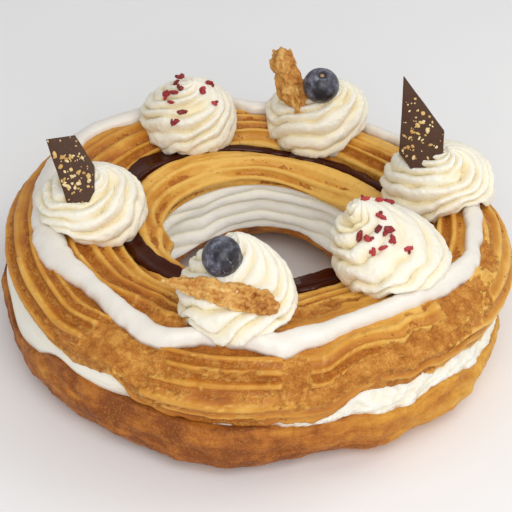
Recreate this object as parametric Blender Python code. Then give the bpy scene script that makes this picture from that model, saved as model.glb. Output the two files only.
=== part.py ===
"""Filled choux ring: a baked ring cut level, filled with piped cream and dressed on top.

Lengths are in millimetres up to the last step, which scales every point to metres.
The ring lies on the floor with its axis along Z. Angles are degrees from +X, anticlockwise
seen from above, so the ring's front is at 270.
"""

import math
import random

import bmesh
import bpy
import numpy as np
from mathutils import Matrix, Vector
from mathutils.bvhtree import BVHTree

MM = 0.001
GAP = 0.4
STEPS = 72
FLOOR = 0.0
SMOOTH_ANGLE = 40.0
# Where the ring's axis stands, so that the whole pastry is centred on the origin.
AXIS_X = 2.6
AXIS_Y = 1.6

# The ring's driving sizes.
CREST_HEIGHT = [(0, 61), (50, 56.5), (95, 59), (140, 61.5), (180, 62), (240, 61.5), (310, 61.5)]
LID_EDGE_TUCK = 5.0
LID_INNER_RADIUS = 42.0
LID_INNER_EDGE_HEIGHT = 43.0
BASE_EDGE_TUCK = 1.0
BASE_INNER_EDGE_HEIGHT = 18.0
FOOT_RADIUS = 72.0
CUT_MIDDLE = 76.0

# Heights of the two cut edges, by angle. The lid rides up on the cream at the left and right.
LID_EDGE_HEIGHT = [(20, 35), (90, 38), (150, 39), (185, 42), (203, 40), (212, 38.7), (220, 36), (226, 37),
                   (232, 38.7), (236, 39.3), (241, 32.5), (247, 30.5), (258, 29.5), (272, 30.5), (281, 30),
                   (285, 31), (289, 36), (293, 40), (298, 40), (304, 36.5), (308, 38.5), (312, 36.3),
                   (322, 36.5), (330, 33), (348, 33)]
BASE_EDGE_HEIGHT = [(20, 25), (90, 28), (150, 28), (186, 24), (198, 21), (207, 24.5), (211, 26.5), (215, 31),
                    (219, 32.8), (224, 30.5), (230, 30), (238, 30), (247, 29), (258, 28.3), (269, 28),
                    (277, 24.5), (286, 24), (293, 26), (300, 25), (307, 23), (315, 28.2), (322, 26),
                    (329, 21.3), (350, 24)]
# Greatest radius of the lid and of the base, by angle.
LID_RADIUS = [(0, 104), (16, 100), (45, 95), (70, 96), (95, 99.5), (125, 106), (150, 107), (180, 106),
              (225, 105), (262, 104), (300, 104.5), (335, 106)]
BASE_RADIUS = [(0, 99), (40, 99), (90, 101), (150, 105), (176, 110), (188, 107), (199, 105.5), (214, 103.5),
               (226, 102), (238, 101), (248, 101.5), (259, 103), (267, 102), (275, 98.5), (290, 97),
               (297, 101), (308, 100.5), (318, 103.5), (328, 103), (344, 102.5)]
BASE_INNER_RADIUS = [(0, 46), (45, 42), (70, 47), (100, 47), (125, 43), (160, 44), (220, 46), (300, 46)]

# The piped lid: two strands side by side with a groove between, both ridged by the nozzle.
GROOVE_RADIUS = [(4, 67), (28, 60), (48, 59), (80, 56), (105, 59), (130, 62), (146, 63), (172, 58), (200, 54),
                 (226, 52), (250, 49), (290, 49), (310, 50.5), (335, 57)]
RIDGES = 15
RIDGE_DEPTH = 2.0
RIDGE_WANDER = 0.35
# Patches where the ridged skin has torn away: angle, half width, place along the section, half width.
ROUGH_PATCHES = [(238, 13, 0.26, 0.17), (312, 25, 0.13, 0.13), (282, 5, 0.17, 0.10)]
PATCH_DEPTH = 1.5

# The two iced bands: radius by angle, then half width by angle.
WHITE_RADIUS = [(3, 87.6), (25, 88), (44, 87), (60, 87), (70, 84), (92, 82), (101, 90), (126, 91),
                (142, 96), (165, 92), (185, 88), (196, 88), (202, 87.8), (210, 85.8), (220, 84.6),
                (230, 86.6), (240, 89.3), (246, 89.6), (251, 88), (258, 84.8), (264, 84.3), (270, 86.3),
                (275, 88.5), (280, 86.4), (285, 85.6), (291, 84), (305, 83.4), (315, 85.4), (322, 87.6),
                (330, 89), (338, 90.6), (345, 88.5), (352, 87.8)]
WHITE_HALF_WIDTH = [(0, 3.8), (50, 4), (95, 4.5), (140, 5.5), (165, 5), (196, 6.5), (208, 5), (215, 4),
                    (230, 3.8), (262, 3.7), (275, 4.6), (286, 3.8), (320, 3.8), (340, 3.6)]
WHITE_THICKNESS = 2.8
DARK_HALF_WIDTH = [(0, 3), (60, 2.6), (100, 2.6), (138, 5), (160, 4), (210, 3.6), (270, 3), (300, 3.4)]
DARK_THICKNESS = 1.8
ICING_LIFT = 0.5

# The six cream rosettes: angle, radius, width, height, way the peak leans along X and Y, and turn.
ROSETTES = [
    (184, 69.5, 46, 22.5, 3, -1, 0),
    (116, 72.5, 42.5, 25, 3, -4, 10),
    (71.5, 76, 45.5, 25.5, 9, -10, 25),
    (13, 76, 48.5, 24, 3, -9, 5),
    (322, 67, 47, 27.5, -14, 6, 15),
    (262.5, 69, 46.5, 29.5, 0, 8, 30),
]
# Each is a star of cream that turns as it rises: its lobes, the depth between two of them, its
# turns, and its outline as shares of its half width and of its height.
LOBES = 8
LOBE_DEPTH = 2.5
TWIST = 0.8
SWIRL_ROWS = 13
SWIRL_OUTLINE = [(0.86, 0.0), (0.97, 0.09), (1.0, 0.22), (0.94, 0.40), (0.79, 0.57), (0.58, 0.73),
                 (0.35, 0.87), (0.15, 0.955), (0.0, 1.0)]
DRAPE_HEIGHT = 12.0
SHOULDER = 3.0
CREAM_LIFT = 0.7
LEAST_LIFT = 0.4
LIFT_PASSES = 3

# Two blueberries: rosette they sit in, centre, width, height, and the way their dimpled end faces.
BLUEBERRIES = [
    ("cream_rosette_6", (-14.5, -70.0, 87.5), 15.9, 15.0, (1.0, 0.1, -0.35)),
    ("cream_rosette_3", (26.2, 57.5, 84.5), 15.6, 15.0, (0.05, -0.35, 1.0)),
]
DIMPLE_DEPTH = 1.6
DIMPLE_RADIUS = 3.2

# Two chocolate shards: rosette, outline across and up the plate, foot of the plate, backward lean.
SHARD_THICKNESS = 2.2
SHARDS = [
    ("cream_rosette_4", [(0, 0), (10, -5), (12.4, 9), (12.6, 17), (-4.4, 39.9), (-5.6, 7.7)],
     (62.4, 5.9, 75.0), 17.6),
    ("cream_rosette_1", [(-1, -1.5), (6.5, -2.5), (9.8, 4), (9.8, 14), (2.1, 26.3), (-9.3, 24.6)],
     (-76.0, -17.0, 76.0), 29.0),
]
CRUMBS = 12
CRUMB_RADIUS = (0.8, 1.5)
CRUMB_ACROSS = (-9, 12)
CRUMB_UP = (9, 36)
CRUMB_MARGIN = 1.4
CRUMB_SPACING = 0.4

# Two biscuit shards: rosette, outline along and across the slab, thickness, place and turn of the slab.
BISCUITS = [
    ("cream_rosette_3", [(0, -8), (6, -8), (6.5, 4), (4.5, 22), (0.5, 23), (-3.5, 18), (-3, 8), (-4, 3)],
     9.0, (13.9, 60.5, 75.7), (-22, -7, 32)),
    ("cream_rosette_6", [(-23, 1), (-12, -2.4), (0, -4.2), (14, -5), (22, -3.6), (23, 0.5), (17, 4.4),
                         (6, 5), (-8, 5.2), (-17, 3.6)],
     4.5, (-15.0, -81.3, 78.4), (-38, 3, -13)),
]

# Freeze-dried raspberry on two rosettes, by offset from the rosette's middle.
RASPBERRIES = [
    ("cream_rosette_2", [(-2.6, 7.2), (-4.2, -1), (-2.2, -6.6), (-8.2, -6.4), (-5, -8), (-6.4, -11.6),
                         (-2, -15), (7.1, -8.4), (9.7, -1.6), (12, -11), (-4.3, -19)]),
    ("cream_rosette_5", [(-12.1, 7.5), (-6.4, 11), (-2.5, 14.4), (-6.3, -0.6), (-7.6, -6.4), (-14.8, -6.6),
                         (-11.6, -9.4), (-3.6, -5.2), (-2, -8.8), (-9.4, -12.6), (-5.6, -12), (4, -10.8)]),
]
RASPBERRY_RADIUS = 1.5

# How far a crumb's middle stands above what it is stuck to, and a crumb's side for a radius of 1.
CRUMB_RISE = 0.2
CRUMB_SIDE = 1.6
rng = random.Random(11)


def around(pairs, angle):
    """Value at an angle on the smooth closed curve through (angle, value) pairs."""
    angles = np.array([a for a, _ in pairs], float)
    values = np.array([v for _, v in pairs], float)
    count = len(pairs)
    wide_angles = np.concatenate([angles[-2:] - 360, angles, angles[:2] + 360])
    wide_values = np.concatenate([values[-2:], values, values[:2]])
    angle = (angle - angles[0]) % 360 + angles[0]
    here = min(int(np.searchsorted(wide_angles, angle, side="right")) - 1, count + 1)
    a = wide_angles[here - 1:here + 3]
    v = wide_values[here - 1:here + 3]
    span = a[2] - a[1]
    t = (angle - a[1]) / span
    start_slope = (v[2] - v[0]) / (a[2] - a[0]) * span
    end_slope = (v[3] - v[1]) / (a[3] - a[1]) * span
    return float((2 * t**3 - 3 * t**2 + 1) * v[1] + (t**3 - 2 * t**2 + t) * start_slope
                 + (3 * t**2 - 2 * t**3) * v[2] + (t**3 - t**2) * end_slope)


def curve_through(points, shares):
    """Points at equal-parameter shares of the smooth open curve through a few points."""
    points = np.array(points, float)
    ends = np.vstack([2 * points[0] - points[1], points, 2 * points[-1] - points[-2]])
    result = []
    for share in shares:
        place = min(max(share, 0.0), 1.0) * (len(points) - 1)
        k = min(int(place), len(points) - 2)
        t = place - k
        p0, p1, p2, p3 = ends[k:k + 4]
        result.append(0.5 * (2 * p1 + (p2 - p0) * t + (2 * p0 - 5 * p1 + 4 * p2 - p3) * t**2
                             + (3 * p1 - p0 - 3 * p2 + p3) * t**3))
    return np.array(result)


def lid_skin(angle, count=97):
    """The lid's smooth outer outline at an angle, as points of radius and height."""
    edge = around(LID_EDGE_HEIGHT, angle)
    bulge = around(LID_RADIUS, angle)
    groove = around(GROOVE_RADIUS, angle)
    crest = around(CREST_HEIGHT, angle)
    rise = crest - edge
    outline = [
        (bulge - LID_EDGE_TUCK, edge),
        (bulge - 0.6, edge + 0.26 * rise),
        (bulge, edge + 0.46 * rise),
        (bulge - 4, edge + 0.70 * rise),
        (bulge - 11.5, edge + 0.89 * rise),
        (bulge - 22, crest),
        (max(bulge - 33, groove + 9), crest - 1.2),
        (groove + 5.5, crest - 5.5),
        (groove, crest - 8),
        (groove * 0.5 + 21.5, crest - 4.2),
        (LID_INNER_RADIUS + 0.4, crest - 9.5),
        (LID_INNER_RADIUS - 0.8, crest - 15),
        (LID_INNER_RADIUS + 1.2, LID_INNER_EDGE_HEIGHT),
    ]
    dense = curve_through(outline, np.linspace(0, 1, 241))
    run = np.concatenate([[0], np.cumsum(np.linalg.norm(np.diff(dense, axis=0), axis=1))])
    even = np.linspace(0, run[-1], count)
    return np.column_stack([np.interp(even, run, dense[:, 0]), np.interp(even, run, dense[:, 1])])


def support_height(x, y):
    """Height of the lid's smooth top under a point."""
    angle = math.degrees(math.atan2(y, x)) % 360
    step = 360 / STEPS
    low = math.floor(angle / step)
    share = angle / step - low
    radius = math.hypot(x, y)
    heights = []
    for index in (low, low + 1):
        skin = LID_SKINS[index % STEPS]
        heights.append(np.interp(radius, skin[::-1, 0], skin[::-1, 1]))
    return float(heights[0] * (1 - share) + heights[1] * share)


def top_of(skin):
    """The part of a lid outline that faces up, from its widest point to its narrowest."""
    first = int(np.argmax(skin[:, 0]))
    last = int(np.argmin(skin[:, 0]))
    top = skin[first:last + 1].copy()
    top[:, 0] = np.minimum.accumulate(top[:, 0])
    return top


LID_SKINS = [top_of(lid_skin(360 / STEPS * index)) for index in range(STEPS)]


def torn(angle, share):
    """How far the ridged skin is torn away at a place on the lid, from 0 to 1."""
    worst = 0.0
    for patch_angle, half_angle, patch_share, half_share in ROUGH_PATCHES:
        turn = (angle - patch_angle + 180) % 360 - 180
        reach = (turn / half_angle) ** 2 + ((share - patch_share) / half_share) ** 2
        worst = max(worst, min(1.0, max(0.0, 1.6 * (1.3 - reach))))
    return worst


def lid_section(angle):
    """The lid's ridged section: crests lie on the smooth outline and valleys below it."""
    skin = lid_skin(angle, 241)
    rows = 2 * RIDGES + 1
    wander = RIDGE_WANDER * math.sin(math.radians(3 * angle + 40))
    section = []
    for row in range(rows):
        shift = wander * math.sin(math.pi * row / (rows - 1))
        share = (row + shift) / (rows - 1)
        place = share * (len(skin) - 1)
        near = min(max(int(round(place)), 1), len(skin) - 2)
        along = skin[near + 1] - skin[near - 1]
        inward = np.array([-along[1], along[0]]) / np.linalg.norm(along)
        tear = torn(angle, share)
        depth = RIDGE_DEPTH * (row % 2) * (1 - 0.75 * tear) + PATCH_DEPTH * tear
        if row in (0, rows - 1):
            depth = 0.0
        point = [np.interp(place, range(len(skin)), skin[:, axis]) for axis in (0, 1)]
        section.append(tuple(np.array(point) + inward * depth))
    section.append((CUT_MIDDLE, lid_cut_height(angle, CUT_MIDDLE)))
    return section


def lid_cut_height(angle, radius):
    """Height of the lid's flat cut face."""
    outer_radius = around(LID_RADIUS, angle) - LID_EDGE_TUCK
    inner_radius = LID_INNER_RADIUS + 1.2
    share = (radius - inner_radius) / (outer_radius - inner_radius)
    return LID_INNER_EDGE_HEIGHT + share * (around(LID_EDGE_HEIGHT, angle) - LID_INNER_EDGE_HEIGHT)


def base_cut_height(angle, radius):
    """Height of the base's flat cut face."""
    inner_radius = around(BASE_INNER_RADIUS, angle)
    share = (radius - inner_radius) / (around(BASE_RADIUS, angle) - BASE_EDGE_TUCK - inner_radius)
    return BASE_INNER_EDGE_HEIGHT + share * (around(BASE_EDGE_HEIGHT, angle) - BASE_INNER_EDGE_HEIGHT)


def base_section(angle):
    """The base's section, from its cut outer edge down round the flat foot to its inner edge."""
    outer = around(BASE_RADIUS, angle)
    inner = around(BASE_INNER_RADIUS, angle)
    edge = around(BASE_EDGE_HEIGHT, angle)
    return [
        (outer - BASE_EDGE_TUCK, edge),
        (outer, 17),
        (outer - 3, 8),
        (outer - 14, FLOOR),
        (FOOT_RADIUS, FLOOR),
        (inner + 12, 6),
        (inner + 1.5, 14),
        (inner, BASE_INNER_EDGE_HEIGHT),
        (CUT_MIDDLE, base_cut_height(angle, CUT_MIDDLE)),
    ]


def cream_section(angle):
    """The filling's section: flat against both cut faces, smooth outside and ridged inside."""
    lid_outer = around(LID_RADIUS, angle) - LID_EDGE_TUCK
    outer = min(lid_outer, around(BASE_RADIUS, angle) - BASE_EDGE_TUCK) - 1.0
    top_inner = LID_INNER_RADIUS + 2.0
    bottom_inner = around(BASE_INNER_RADIUS, angle) - 0.5
    bottom = base_cut_height(angle, outer) + GAP
    top = max(lid_cut_height(angle, outer) - GAP, bottom + 0.6)
    return [
        (outer, bottom),
        (outer + 0.8, (bottom + top) / 2),
        (outer, top),
        (CUT_MIDDLE, lid_cut_height(angle, CUT_MIDDLE) - GAP),
        (top_inner, lid_cut_height(angle, top_inner) - GAP),
        (top_inner - 0.6, 37),
        (top_inner + 2.2, 33),
        (top_inner + 0.4, 26),
        (bottom_inner, base_cut_height(angle, bottom_inner) + GAP),
        (CUT_MIDDLE, base_cut_height(angle, CUT_MIDDLE) + GAP),
    ]


def icing_section(angle, middles, half_widths, thickness):
    """A band of icing: its underside follows the lid's smooth top, and its top is rounded."""
    middle = around(middles, angle)
    half = around(half_widths, angle)
    turn = math.radians(angle)

    def point(offset, lift):
        radius = middle + offset
        return radius, support_height(radius * math.cos(turn), radius * math.sin(turn)) + lift

    return [
        point(-half, ICING_LIFT),
        point(0, ICING_LIFT),
        point(half, ICING_LIFT),
        point(half * 0.8, ICING_LIFT + thickness * 0.75),
        point(0, ICING_LIFT + thickness),
        point(-half * 0.8, ICING_LIFT + thickness * 0.75),
    ]


def white_section(angle):
    return icing_section(angle, WHITE_RADIUS, WHITE_HALF_WIDTH, WHITE_THICKNESS)


def dark_section(angle):
    return icing_section(angle, GROOVE_RADIUS, DARK_HALF_WIDTH, DARK_THICKNESS)


def material(name, colour, roughness, metallic=0.0):
    made = bpy.data.materials.new(name)
    made.use_nodes = True
    shader = made.node_tree.nodes["Principled BSDF"]
    shader.inputs["Base Color"].default_value = (*colour, 1.0)
    shader.inputs["Roughness"].default_value = roughness
    shader.inputs["Metallic"].default_value = metallic
    made.diffuse_color = (*colour, 1.0)
    return made


def add_object(name, bm, finish, collection):
    """Make a named object from a bmesh in millimetres."""
    mesh = bpy.data.meshes.new(name)
    bm.to_mesh(mesh)
    bm.free()
    made = bpy.data.objects.new(name, mesh)
    collection.objects.link(made)
    if finish:
        mesh.materials.append(finish)
    return made


def ring_bmesh(section):
    """Spin a section right round, then move every copy to the section at its own angle."""
    bm = bmesh.new()
    row_of = bm.verts.layers.int.new("row")
    profile = []
    for row, (radius, height) in enumerate(section(0.0)):
        vert = bm.verts.new((radius, 0, height))
        vert[row_of] = row
        profile.append(vert)
    edges = [bm.edges.new((profile[row - 1], profile[row])) for row in range(len(profile))]
    bmesh.ops.spin(bm, geom=profile + edges, cent=(0, 0, 0), axis=(0, 0, 1), angle=math.tau,
                   steps=STEPS, use_merge=True)
    step = 360 / STEPS
    sections = [section(step * index) for index in range(STEPS)]
    for vert in bm.verts:
        index = round(math.degrees(math.atan2(vert.co.y, vert.co.x)) / step) % STEPS
        radius, height = sections[index][vert[row_of]]
        turn = math.radians(step * index)
        vert.co = (radius * math.cos(turn), radius * math.sin(turn), height)
    bmesh.ops.recalc_face_normals(bm, faces=bm.faces)
    bmesh.ops.triangulate(bm, faces=bm.faces, quad_method="SHORT_EDGE")
    return bm


def bump_over(radius, middle, half_width, height):
    """Extra height that keeps the cream clear of a band of icing."""
    away = abs(radius - middle) - half_width
    return height * (1 - min(1.0, max(0.0, away / SHOULDER)))


def rest_height(x, y):
    """Height that a rosette rests at: the lid, raised over the icing."""
    angle = math.degrees(math.atan2(y, x)) % 360
    radius = math.hypot(x, y)
    white_bump = bump_over(radius, around(WHITE_RADIUS, angle), around(WHITE_HALF_WIDTH, angle),
                           WHITE_THICKNESS)
    dark_bump = bump_over(radius, around(GROOVE_RADIUS, angle), around(DARK_HALF_WIDTH, angle),
                          DARK_THICKNESS)
    return support_height(x, y) + ICING_LIFT + max(white_bump, dark_bump) + CREAM_LIFT


def swirl_bmesh(width, height, start):
    """The star of cream as it is piped, standing on a flat foot with its lobes wound up to the peak."""
    outline = curve_through([(out * width / 2, up * height) for out, up in SWIRL_OUTLINE],
                            np.linspace(0, 1, 121))
    run = np.concatenate([[0], np.cumsum(np.linalg.norm(np.diff(outline, axis=0), axis=1))])
    even = np.linspace(0, run[-1], SWIRL_ROWS)
    radii, heights = (np.interp(even, run, outline[:, axis]) for axis in (0, 1))
    steps = SWIRL_ROWS + 1
    bm = bmesh.new()
    bmesh.ops.create_uvsphere(bm, u_segments=2 * LOBES, v_segments=steps, radius=1.0)
    for vert in bm.verts:
        column = round(math.atan2(vert.co.y, vert.co.x) / math.pi * LOBES)
        level = round(steps * math.acos(max(-1.0, min(1.0, -vert.co.z))) / math.pi) - 2
        row = max(level, 0)
        share = row / (SWIRL_ROWS - 1)
        depth = LOBE_DEPTH * (0.25 + 0.75 * min(1.0, 4 * (1 - share)))
        away = max(0.0, radii[row] - depth * (column % 2)) * {-2: 0, -1: 0.5}.get(level, 1)
        turn = math.radians(start) + math.pi * column / LOBES + math.tau * TWIST * share
        vert.co = (away * math.cos(turn), away * math.sin(turn), heights[row])
    bmesh.ops.triangulate(bm, faces=bm.faces, quad_method="SHORT_EDGE")
    bmesh.ops.recalc_face_normals(bm, faces=bm.faces)
    return bm


def mesh_of(source):
    """A new mesh holding what an object evaluates to."""
    graph = bpy.context.evaluated_depsgraph_get()
    return bpy.data.meshes.new_from_object(source.evaluated_get(graph), depsgraph=graph)


def rosette(name, finish, place, collection):
    """One rosette, leant over and draped over what it rests on."""
    angle, radius, width, height, lean_x, lean_y, start = place
    turn = math.radians(angle)
    middle = Vector((radius * math.cos(turn), radius * math.sin(turn), 0))
    made = add_object(name, swirl_bmesh(width, height, start), finish, collection)
    for vert in made.data.vertices:
        rise = max(0.0, vert.co.z / height) ** 1.5
        vert.co += Vector((lean_x * rise, lean_y * rise, 0))
    drape(made.data, middle, around(CREST_HEIGHT, angle))
    lift_clear(made.data)


def drape(mesh, middle, level_height):
    """Bend the rosette's foot over what it rests on, and lift its top to the level of the crest."""
    for vert in mesh.vertices:
        at = vert.co + middle
        share = min(1.0, max(0.0, vert.co.z / DRAPE_HEIGHT))
        rest = rest_height(at.x, at.y)
        level = rest + (level_height - rest) * share
        vert.co = (at.x, at.y, max(level + vert.co.z, rest))


def lift_clear(mesh):
    """Raise the coarse foot wherever a corner, or the middle of an edge or face, sinks too low."""
    for vert in mesh.vertices:
        vert.co.z = max(vert.co.z, rest_height(vert.co.x, vert.co.y))
    spans = [edge.vertices[:] for edge in mesh.edges] + [poly.vertices[:] for poly in mesh.polygons]
    for _ in range(LIFT_PASSES):
        for span in spans:
            middle = sum((mesh.vertices[index].co for index in span), Vector()) / len(span)
            short = rest_height(middle.x, middle.y) - CREAM_LIFT + LEAST_LIFT - middle.z
            if short > 0:
                for index in span:
                    mesh.vertices[index].co.z += short


def plate(name, outline, thickness, growth, collection):
    """A flat slab of an outline, with its foot at the origin, standing up and facing the front."""
    curve = bpy.data.curves.new(name, "CURVE")
    curve.dimensions = "2D"
    curve.fill_mode = "BOTH"
    curve.extrude = thickness / 2 + growth
    curve.offset = growth
    spline = curve.splines.new("POLY")
    spline.points.add(len(outline) - 1)
    for point, (across, up) in zip(spline.points, outline):
        point.co = (across, up, 0, 1)
    spline.use_cyclic_u = True
    flat = bpy.data.objects.new(name, curve)
    collection.objects.link(flat)
    bpy.context.view_layer.update()
    mesh = mesh_of(flat)
    bpy.data.objects.remove(flat, do_unlink=True)
    bm = bmesh.new()
    bm.from_mesh(mesh)
    bmesh.ops.remove_doubles(bm, verts=bm.verts, dist=0.0001)
    bmesh.ops.recalc_face_normals(bm, faces=bm.faces)
    bmesh.ops.triangulate(bm, faces=bm.faces)
    bm.to_mesh(mesh)
    bm.free()
    made = bpy.data.objects.new(name, mesh)
    collection.objects.link(made)
    return made


def stand_up(made, foot, turns):
    """Turn a slab by its three angles, after standing it on its foot, and put the place in its mesh."""
    tilt, roll, spin = (math.radians(turn) for turn in turns)
    pose = (Matrix.Translation(foot) @ Matrix.Rotation(spin, 4, "Z") @ Matrix.Rotation(roll, 4, "Y")
            @ Matrix.Rotation(math.pi / 2 + tilt, 4, "X"))
    made.data.transform(pose)
    return pose


def bit(name, centre, size, collection):
    """A small angular crumb: a block stretched and turned at random."""
    bm = bmesh.new()
    bmesh.ops.create_cube(bm, size=CRUMB_SIDE)
    stretch = Matrix.Diagonal((*(size * rng.uniform(0.75, 1.3) for _ in range(3)), 1.0))
    turned = Matrix.Rotation(rng.uniform(0, math.tau), 4, (rng.uniform(-1, 1), rng.uniform(-1, 1), 1))
    bmesh.ops.transform(bm, matrix=Matrix.Translation(centre) @ turned @ stretch, verts=bm.verts)
    return add_object(name, bm, None, collection)


def fuse(made, bits):
    """Fuse a collection of small pieces to what they lie on, and take them away."""
    joined = made.modifiers.new("fuse", "BOOLEAN")
    joined.operation = "UNION"
    joined.operand_type = "COLLECTION"
    joined.collection = bits
    joined.solver = "EXACT"
    bpy.context.view_layer.update()
    made.data = mesh_of(made)
    made.modifiers.clear()
    for piece in list(bits.objects):
        bpy.data.objects.remove(piece, do_unlink=True)
    bpy.data.collections.remove(bits)


def drop_scraps(mesh):
    """Keep the largest body of a mesh, without the slivers that a cut leaves."""
    bm = bmesh.new()
    bm.from_mesh(mesh)
    left = set(bm.verts)
    bodies = []
    while left:
        body, reached = set(), {left.pop()}
        while reached:
            body |= reached
            reached = {edge.other_vert(vert) for vert in reached for edge in vert.link_edges} - body
        left -= body
        bodies.append(list(body))
    bodies.sort(key=len)
    for body in bodies[:-1]:
        bmesh.ops.delete(bm, geom=body, context="VERTS")
    bm.to_mesh(mesh)
    bm.free()


def cut_out(made, cutter):
    """Take the room that a topping needs out of a rosette."""
    cut = made.modifiers.new("cut", "BOOLEAN")
    cut.operation = "DIFFERENCE"
    cut.object = cutter
    cut.solver = "EXACT"
    bpy.context.view_layer.update()
    made.data = mesh_of(made)
    made.modifiers.clear()
    drop_scraps(made.data)
    bpy.data.objects.remove(cutter, do_unlink=True)


def inside(outline, across, up):
    """Whether a point lies inside an outline."""
    within = False
    for (x1, y1), (x2, y2) in zip(outline, outline[1:] + outline[:1]):
        if (y1 > up) != (y2 > up) and across < x1 + (up - y1) / (y2 - y1) * (x2 - x1):
            within = not within
    return within


def shard(name, place, finish, pieces, helpers):
    """A plate of dark chocolate with nut crumbs pressed into its face, standing in a rosette."""
    rosette_name, outline, foot, lean = place
    made = plate(name, outline, SHARD_THICKNESS, 0, pieces)
    pose = stand_up(made, foot, (-lean, 0, 0))
    crumbs = bpy.data.collections.new("crumbs")
    helpers.children.link(crumbs)
    laid = []
    while len(laid) < CRUMBS:
        across = rng.uniform(*CRUMB_ACROSS)
        up = rng.uniform(*CRUMB_UP)
        size = rng.uniform(*CRUMB_RADIUS)
        clear = all(math.hypot(across - x, up - y) > size + other + CRUMB_SPACING for x, y, other in laid)
        left, right = across - CRUMB_MARGIN, across + CRUMB_MARGIN
        if inside(outline, left, up) and inside(outline, right, up) and clear:
            laid.append((across, up, size))
            centre = pose @ Vector((across, up, SHARD_THICKNESS / 2 + CRUMB_RISE))
            bit("crumb", centre, size, crumbs)
    fuse(made, crumbs)
    made.data.materials.clear()
    made.data.materials.append(finish)
    slot = plate("slot", outline, SHARD_THICKNESS, GAP, helpers)
    stand_up(slot, foot, (-lean, 0, 0))
    cut_out(pieces.objects[rosette_name], slot)


def biscuit(name, place, finish, pieces, helpers):
    """A broken wedge of crisp biscuit pushed into a rosette."""
    rosette_name, outline, thickness, foot, turns = place
    made = plate(name, outline, thickness, 0, pieces)
    stand_up(made, foot, turns)
    made.data.materials.clear()
    made.data.materials.append(finish)
    slot = plate("slot", outline, thickness, GAP, helpers)
    stand_up(slot, foot, turns)
    cut_out(pieces.objects[rosette_name], slot)


def berry_bmesh(centre, width, height, facing, growth, dimple):
    """A blueberry: a flattened ball with a small dimple at one end."""
    bm = bmesh.new()
    bmesh.ops.create_uvsphere(bm, u_segments=12, v_segments=9, radius=1.0)
    for vert in bm.verts:
        away = math.hypot(vert.co.x, vert.co.y) * width / 2
        if vert.co.z > 0 and away < DIMPLE_RADIUS:
            vert.co.z -= dimple / height * 2 * (1 - away / DIMPLE_RADIUS)
        vert.co = Vector((vert.co.x * (width / 2 + growth), vert.co.y * (width / 2 + growth),
                          vert.co.z * (height / 2 + growth)))
    turned = Vector((0, 0, 1)).rotation_difference(Vector(facing)).to_matrix().to_4x4()
    bmesh.ops.transform(bm, matrix=Matrix.Translation(centre) @ turned, verts=bm.verts)
    bmesh.ops.triangulate(bm, faces=bm.faces)
    return bm


def blueberry(name, place, finish, pieces, helpers):
    """A blueberry, and the hollow that it presses into its rosette."""
    rosette_name, centre, width, height, facing = place
    add_object(name, berry_bmesh(centre, width, height, facing, 0, DIMPLE_DEPTH), finish, pieces)
    hollow = add_object("hollow", berry_bmesh(centre, width, height, facing, GAP, 0), None, helpers)
    cut_out(pieces.objects[rosette_name], hollow)


def raspberries(rosette_name, offsets, pieces, helpers):
    """Bits of freeze-dried raspberry stuck on a rosette."""
    made = pieces.objects[rosette_name]
    index = int(rosette_name[-1]) - 1
    turn = math.radians(ROSETTES[index][0])
    radius = ROSETTES[index][1]
    tree = BVHTree.FromPolygons([vert.co for vert in made.data.vertices],
                                [poly.vertices for poly in made.data.polygons])
    bits = bpy.data.collections.new("raspberry_bits")
    helpers.children.link(bits)
    for across, back in offsets:
        above = Vector((radius * math.cos(turn) + across, radius * math.sin(turn) + back, 150))
        spot = tree.ray_cast(above, Vector((0, 0, -1)))[0]
        bit("raspberry", spot + Vector((0, 0, CRUMB_RISE)), RASPBERRY_RADIUS, bits)
    fuse(made, bits)


def main():
    for thing in list(bpy.data.objects):
        bpy.data.objects.remove(thing, do_unlink=True)
    pieces = bpy.data.collections.new("choux_ring")
    helpers = bpy.data.collections.new("helpers")
    for group in (pieces, helpers):
        bpy.context.scene.collection.children.link(group)

    crust_dark = material("base_crust", (0.35, 0.13, 0.03), 0.6)
    crust_gold = material("lid_crust", (0.55, 0.28, 0.07), 0.55)
    cream = material("whipped_cream", (0.93, 0.89, 0.76), 0.5)
    white = material("white_icing", (0.84, 0.78, 0.68), 0.35)
    dark = material("dark_icing", (0.06, 0.015, 0.008), 0.15)
    berry_skin = material("blueberry_skin", (0.03, 0.035, 0.07), 0.45)
    chocolate = material("dark_chocolate", (0.05, 0.025, 0.018), 0.35)
    toasted = material("toasted_biscuit", (0.55, 0.27, 0.08), 0.6)
    add_object("choux_base", ring_bmesh(base_section), crust_dark, pieces)
    add_object("cream_filling", ring_bmesh(cream_section), cream, pieces)
    add_object("choux_lid", ring_bmesh(lid_section), crust_gold, pieces)
    add_object("white_icing", ring_bmesh(white_section), white, pieces)
    add_object("chocolate_icing", ring_bmesh(dark_section), dark, pieces)
    for index, place in enumerate(ROSETTES):
        rosette(f"cream_rosette_{index + 1}", cream, place, pieces)
    for index, place in enumerate(BLUEBERRIES):
        blueberry(f"blueberry_{index + 1}", place, berry_skin, pieces, helpers)
    for index, place in enumerate(SHARDS):
        shard(f"chocolate_shard_{index + 1}", place, chocolate, pieces, helpers)
    for index, place in enumerate(BISCUITS):
        biscuit(f"biscuit_shard_{index + 1}", place, toasted, pieces, helpers)
    for rosette_name, offsets in RASPBERRIES:
        raspberries(rosette_name, offsets, pieces, helpers)
    for made in pieces.objects:
        made.data.transform(Matrix.Scale(MM, 4) @ Matrix.Translation((AXIS_X, AXIS_Y, 0)))
        made.data.shade_smooth()
        made.data.set_sharp_from_angle(angle=math.radians(SMOOTH_ANGLE))


main()
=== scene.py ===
import math
import random

import bmesh
import bpy
import numpy as np
from mathutils import Matrix, Vector, noise
from mathutils.bvhtree import BVHTree


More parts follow.
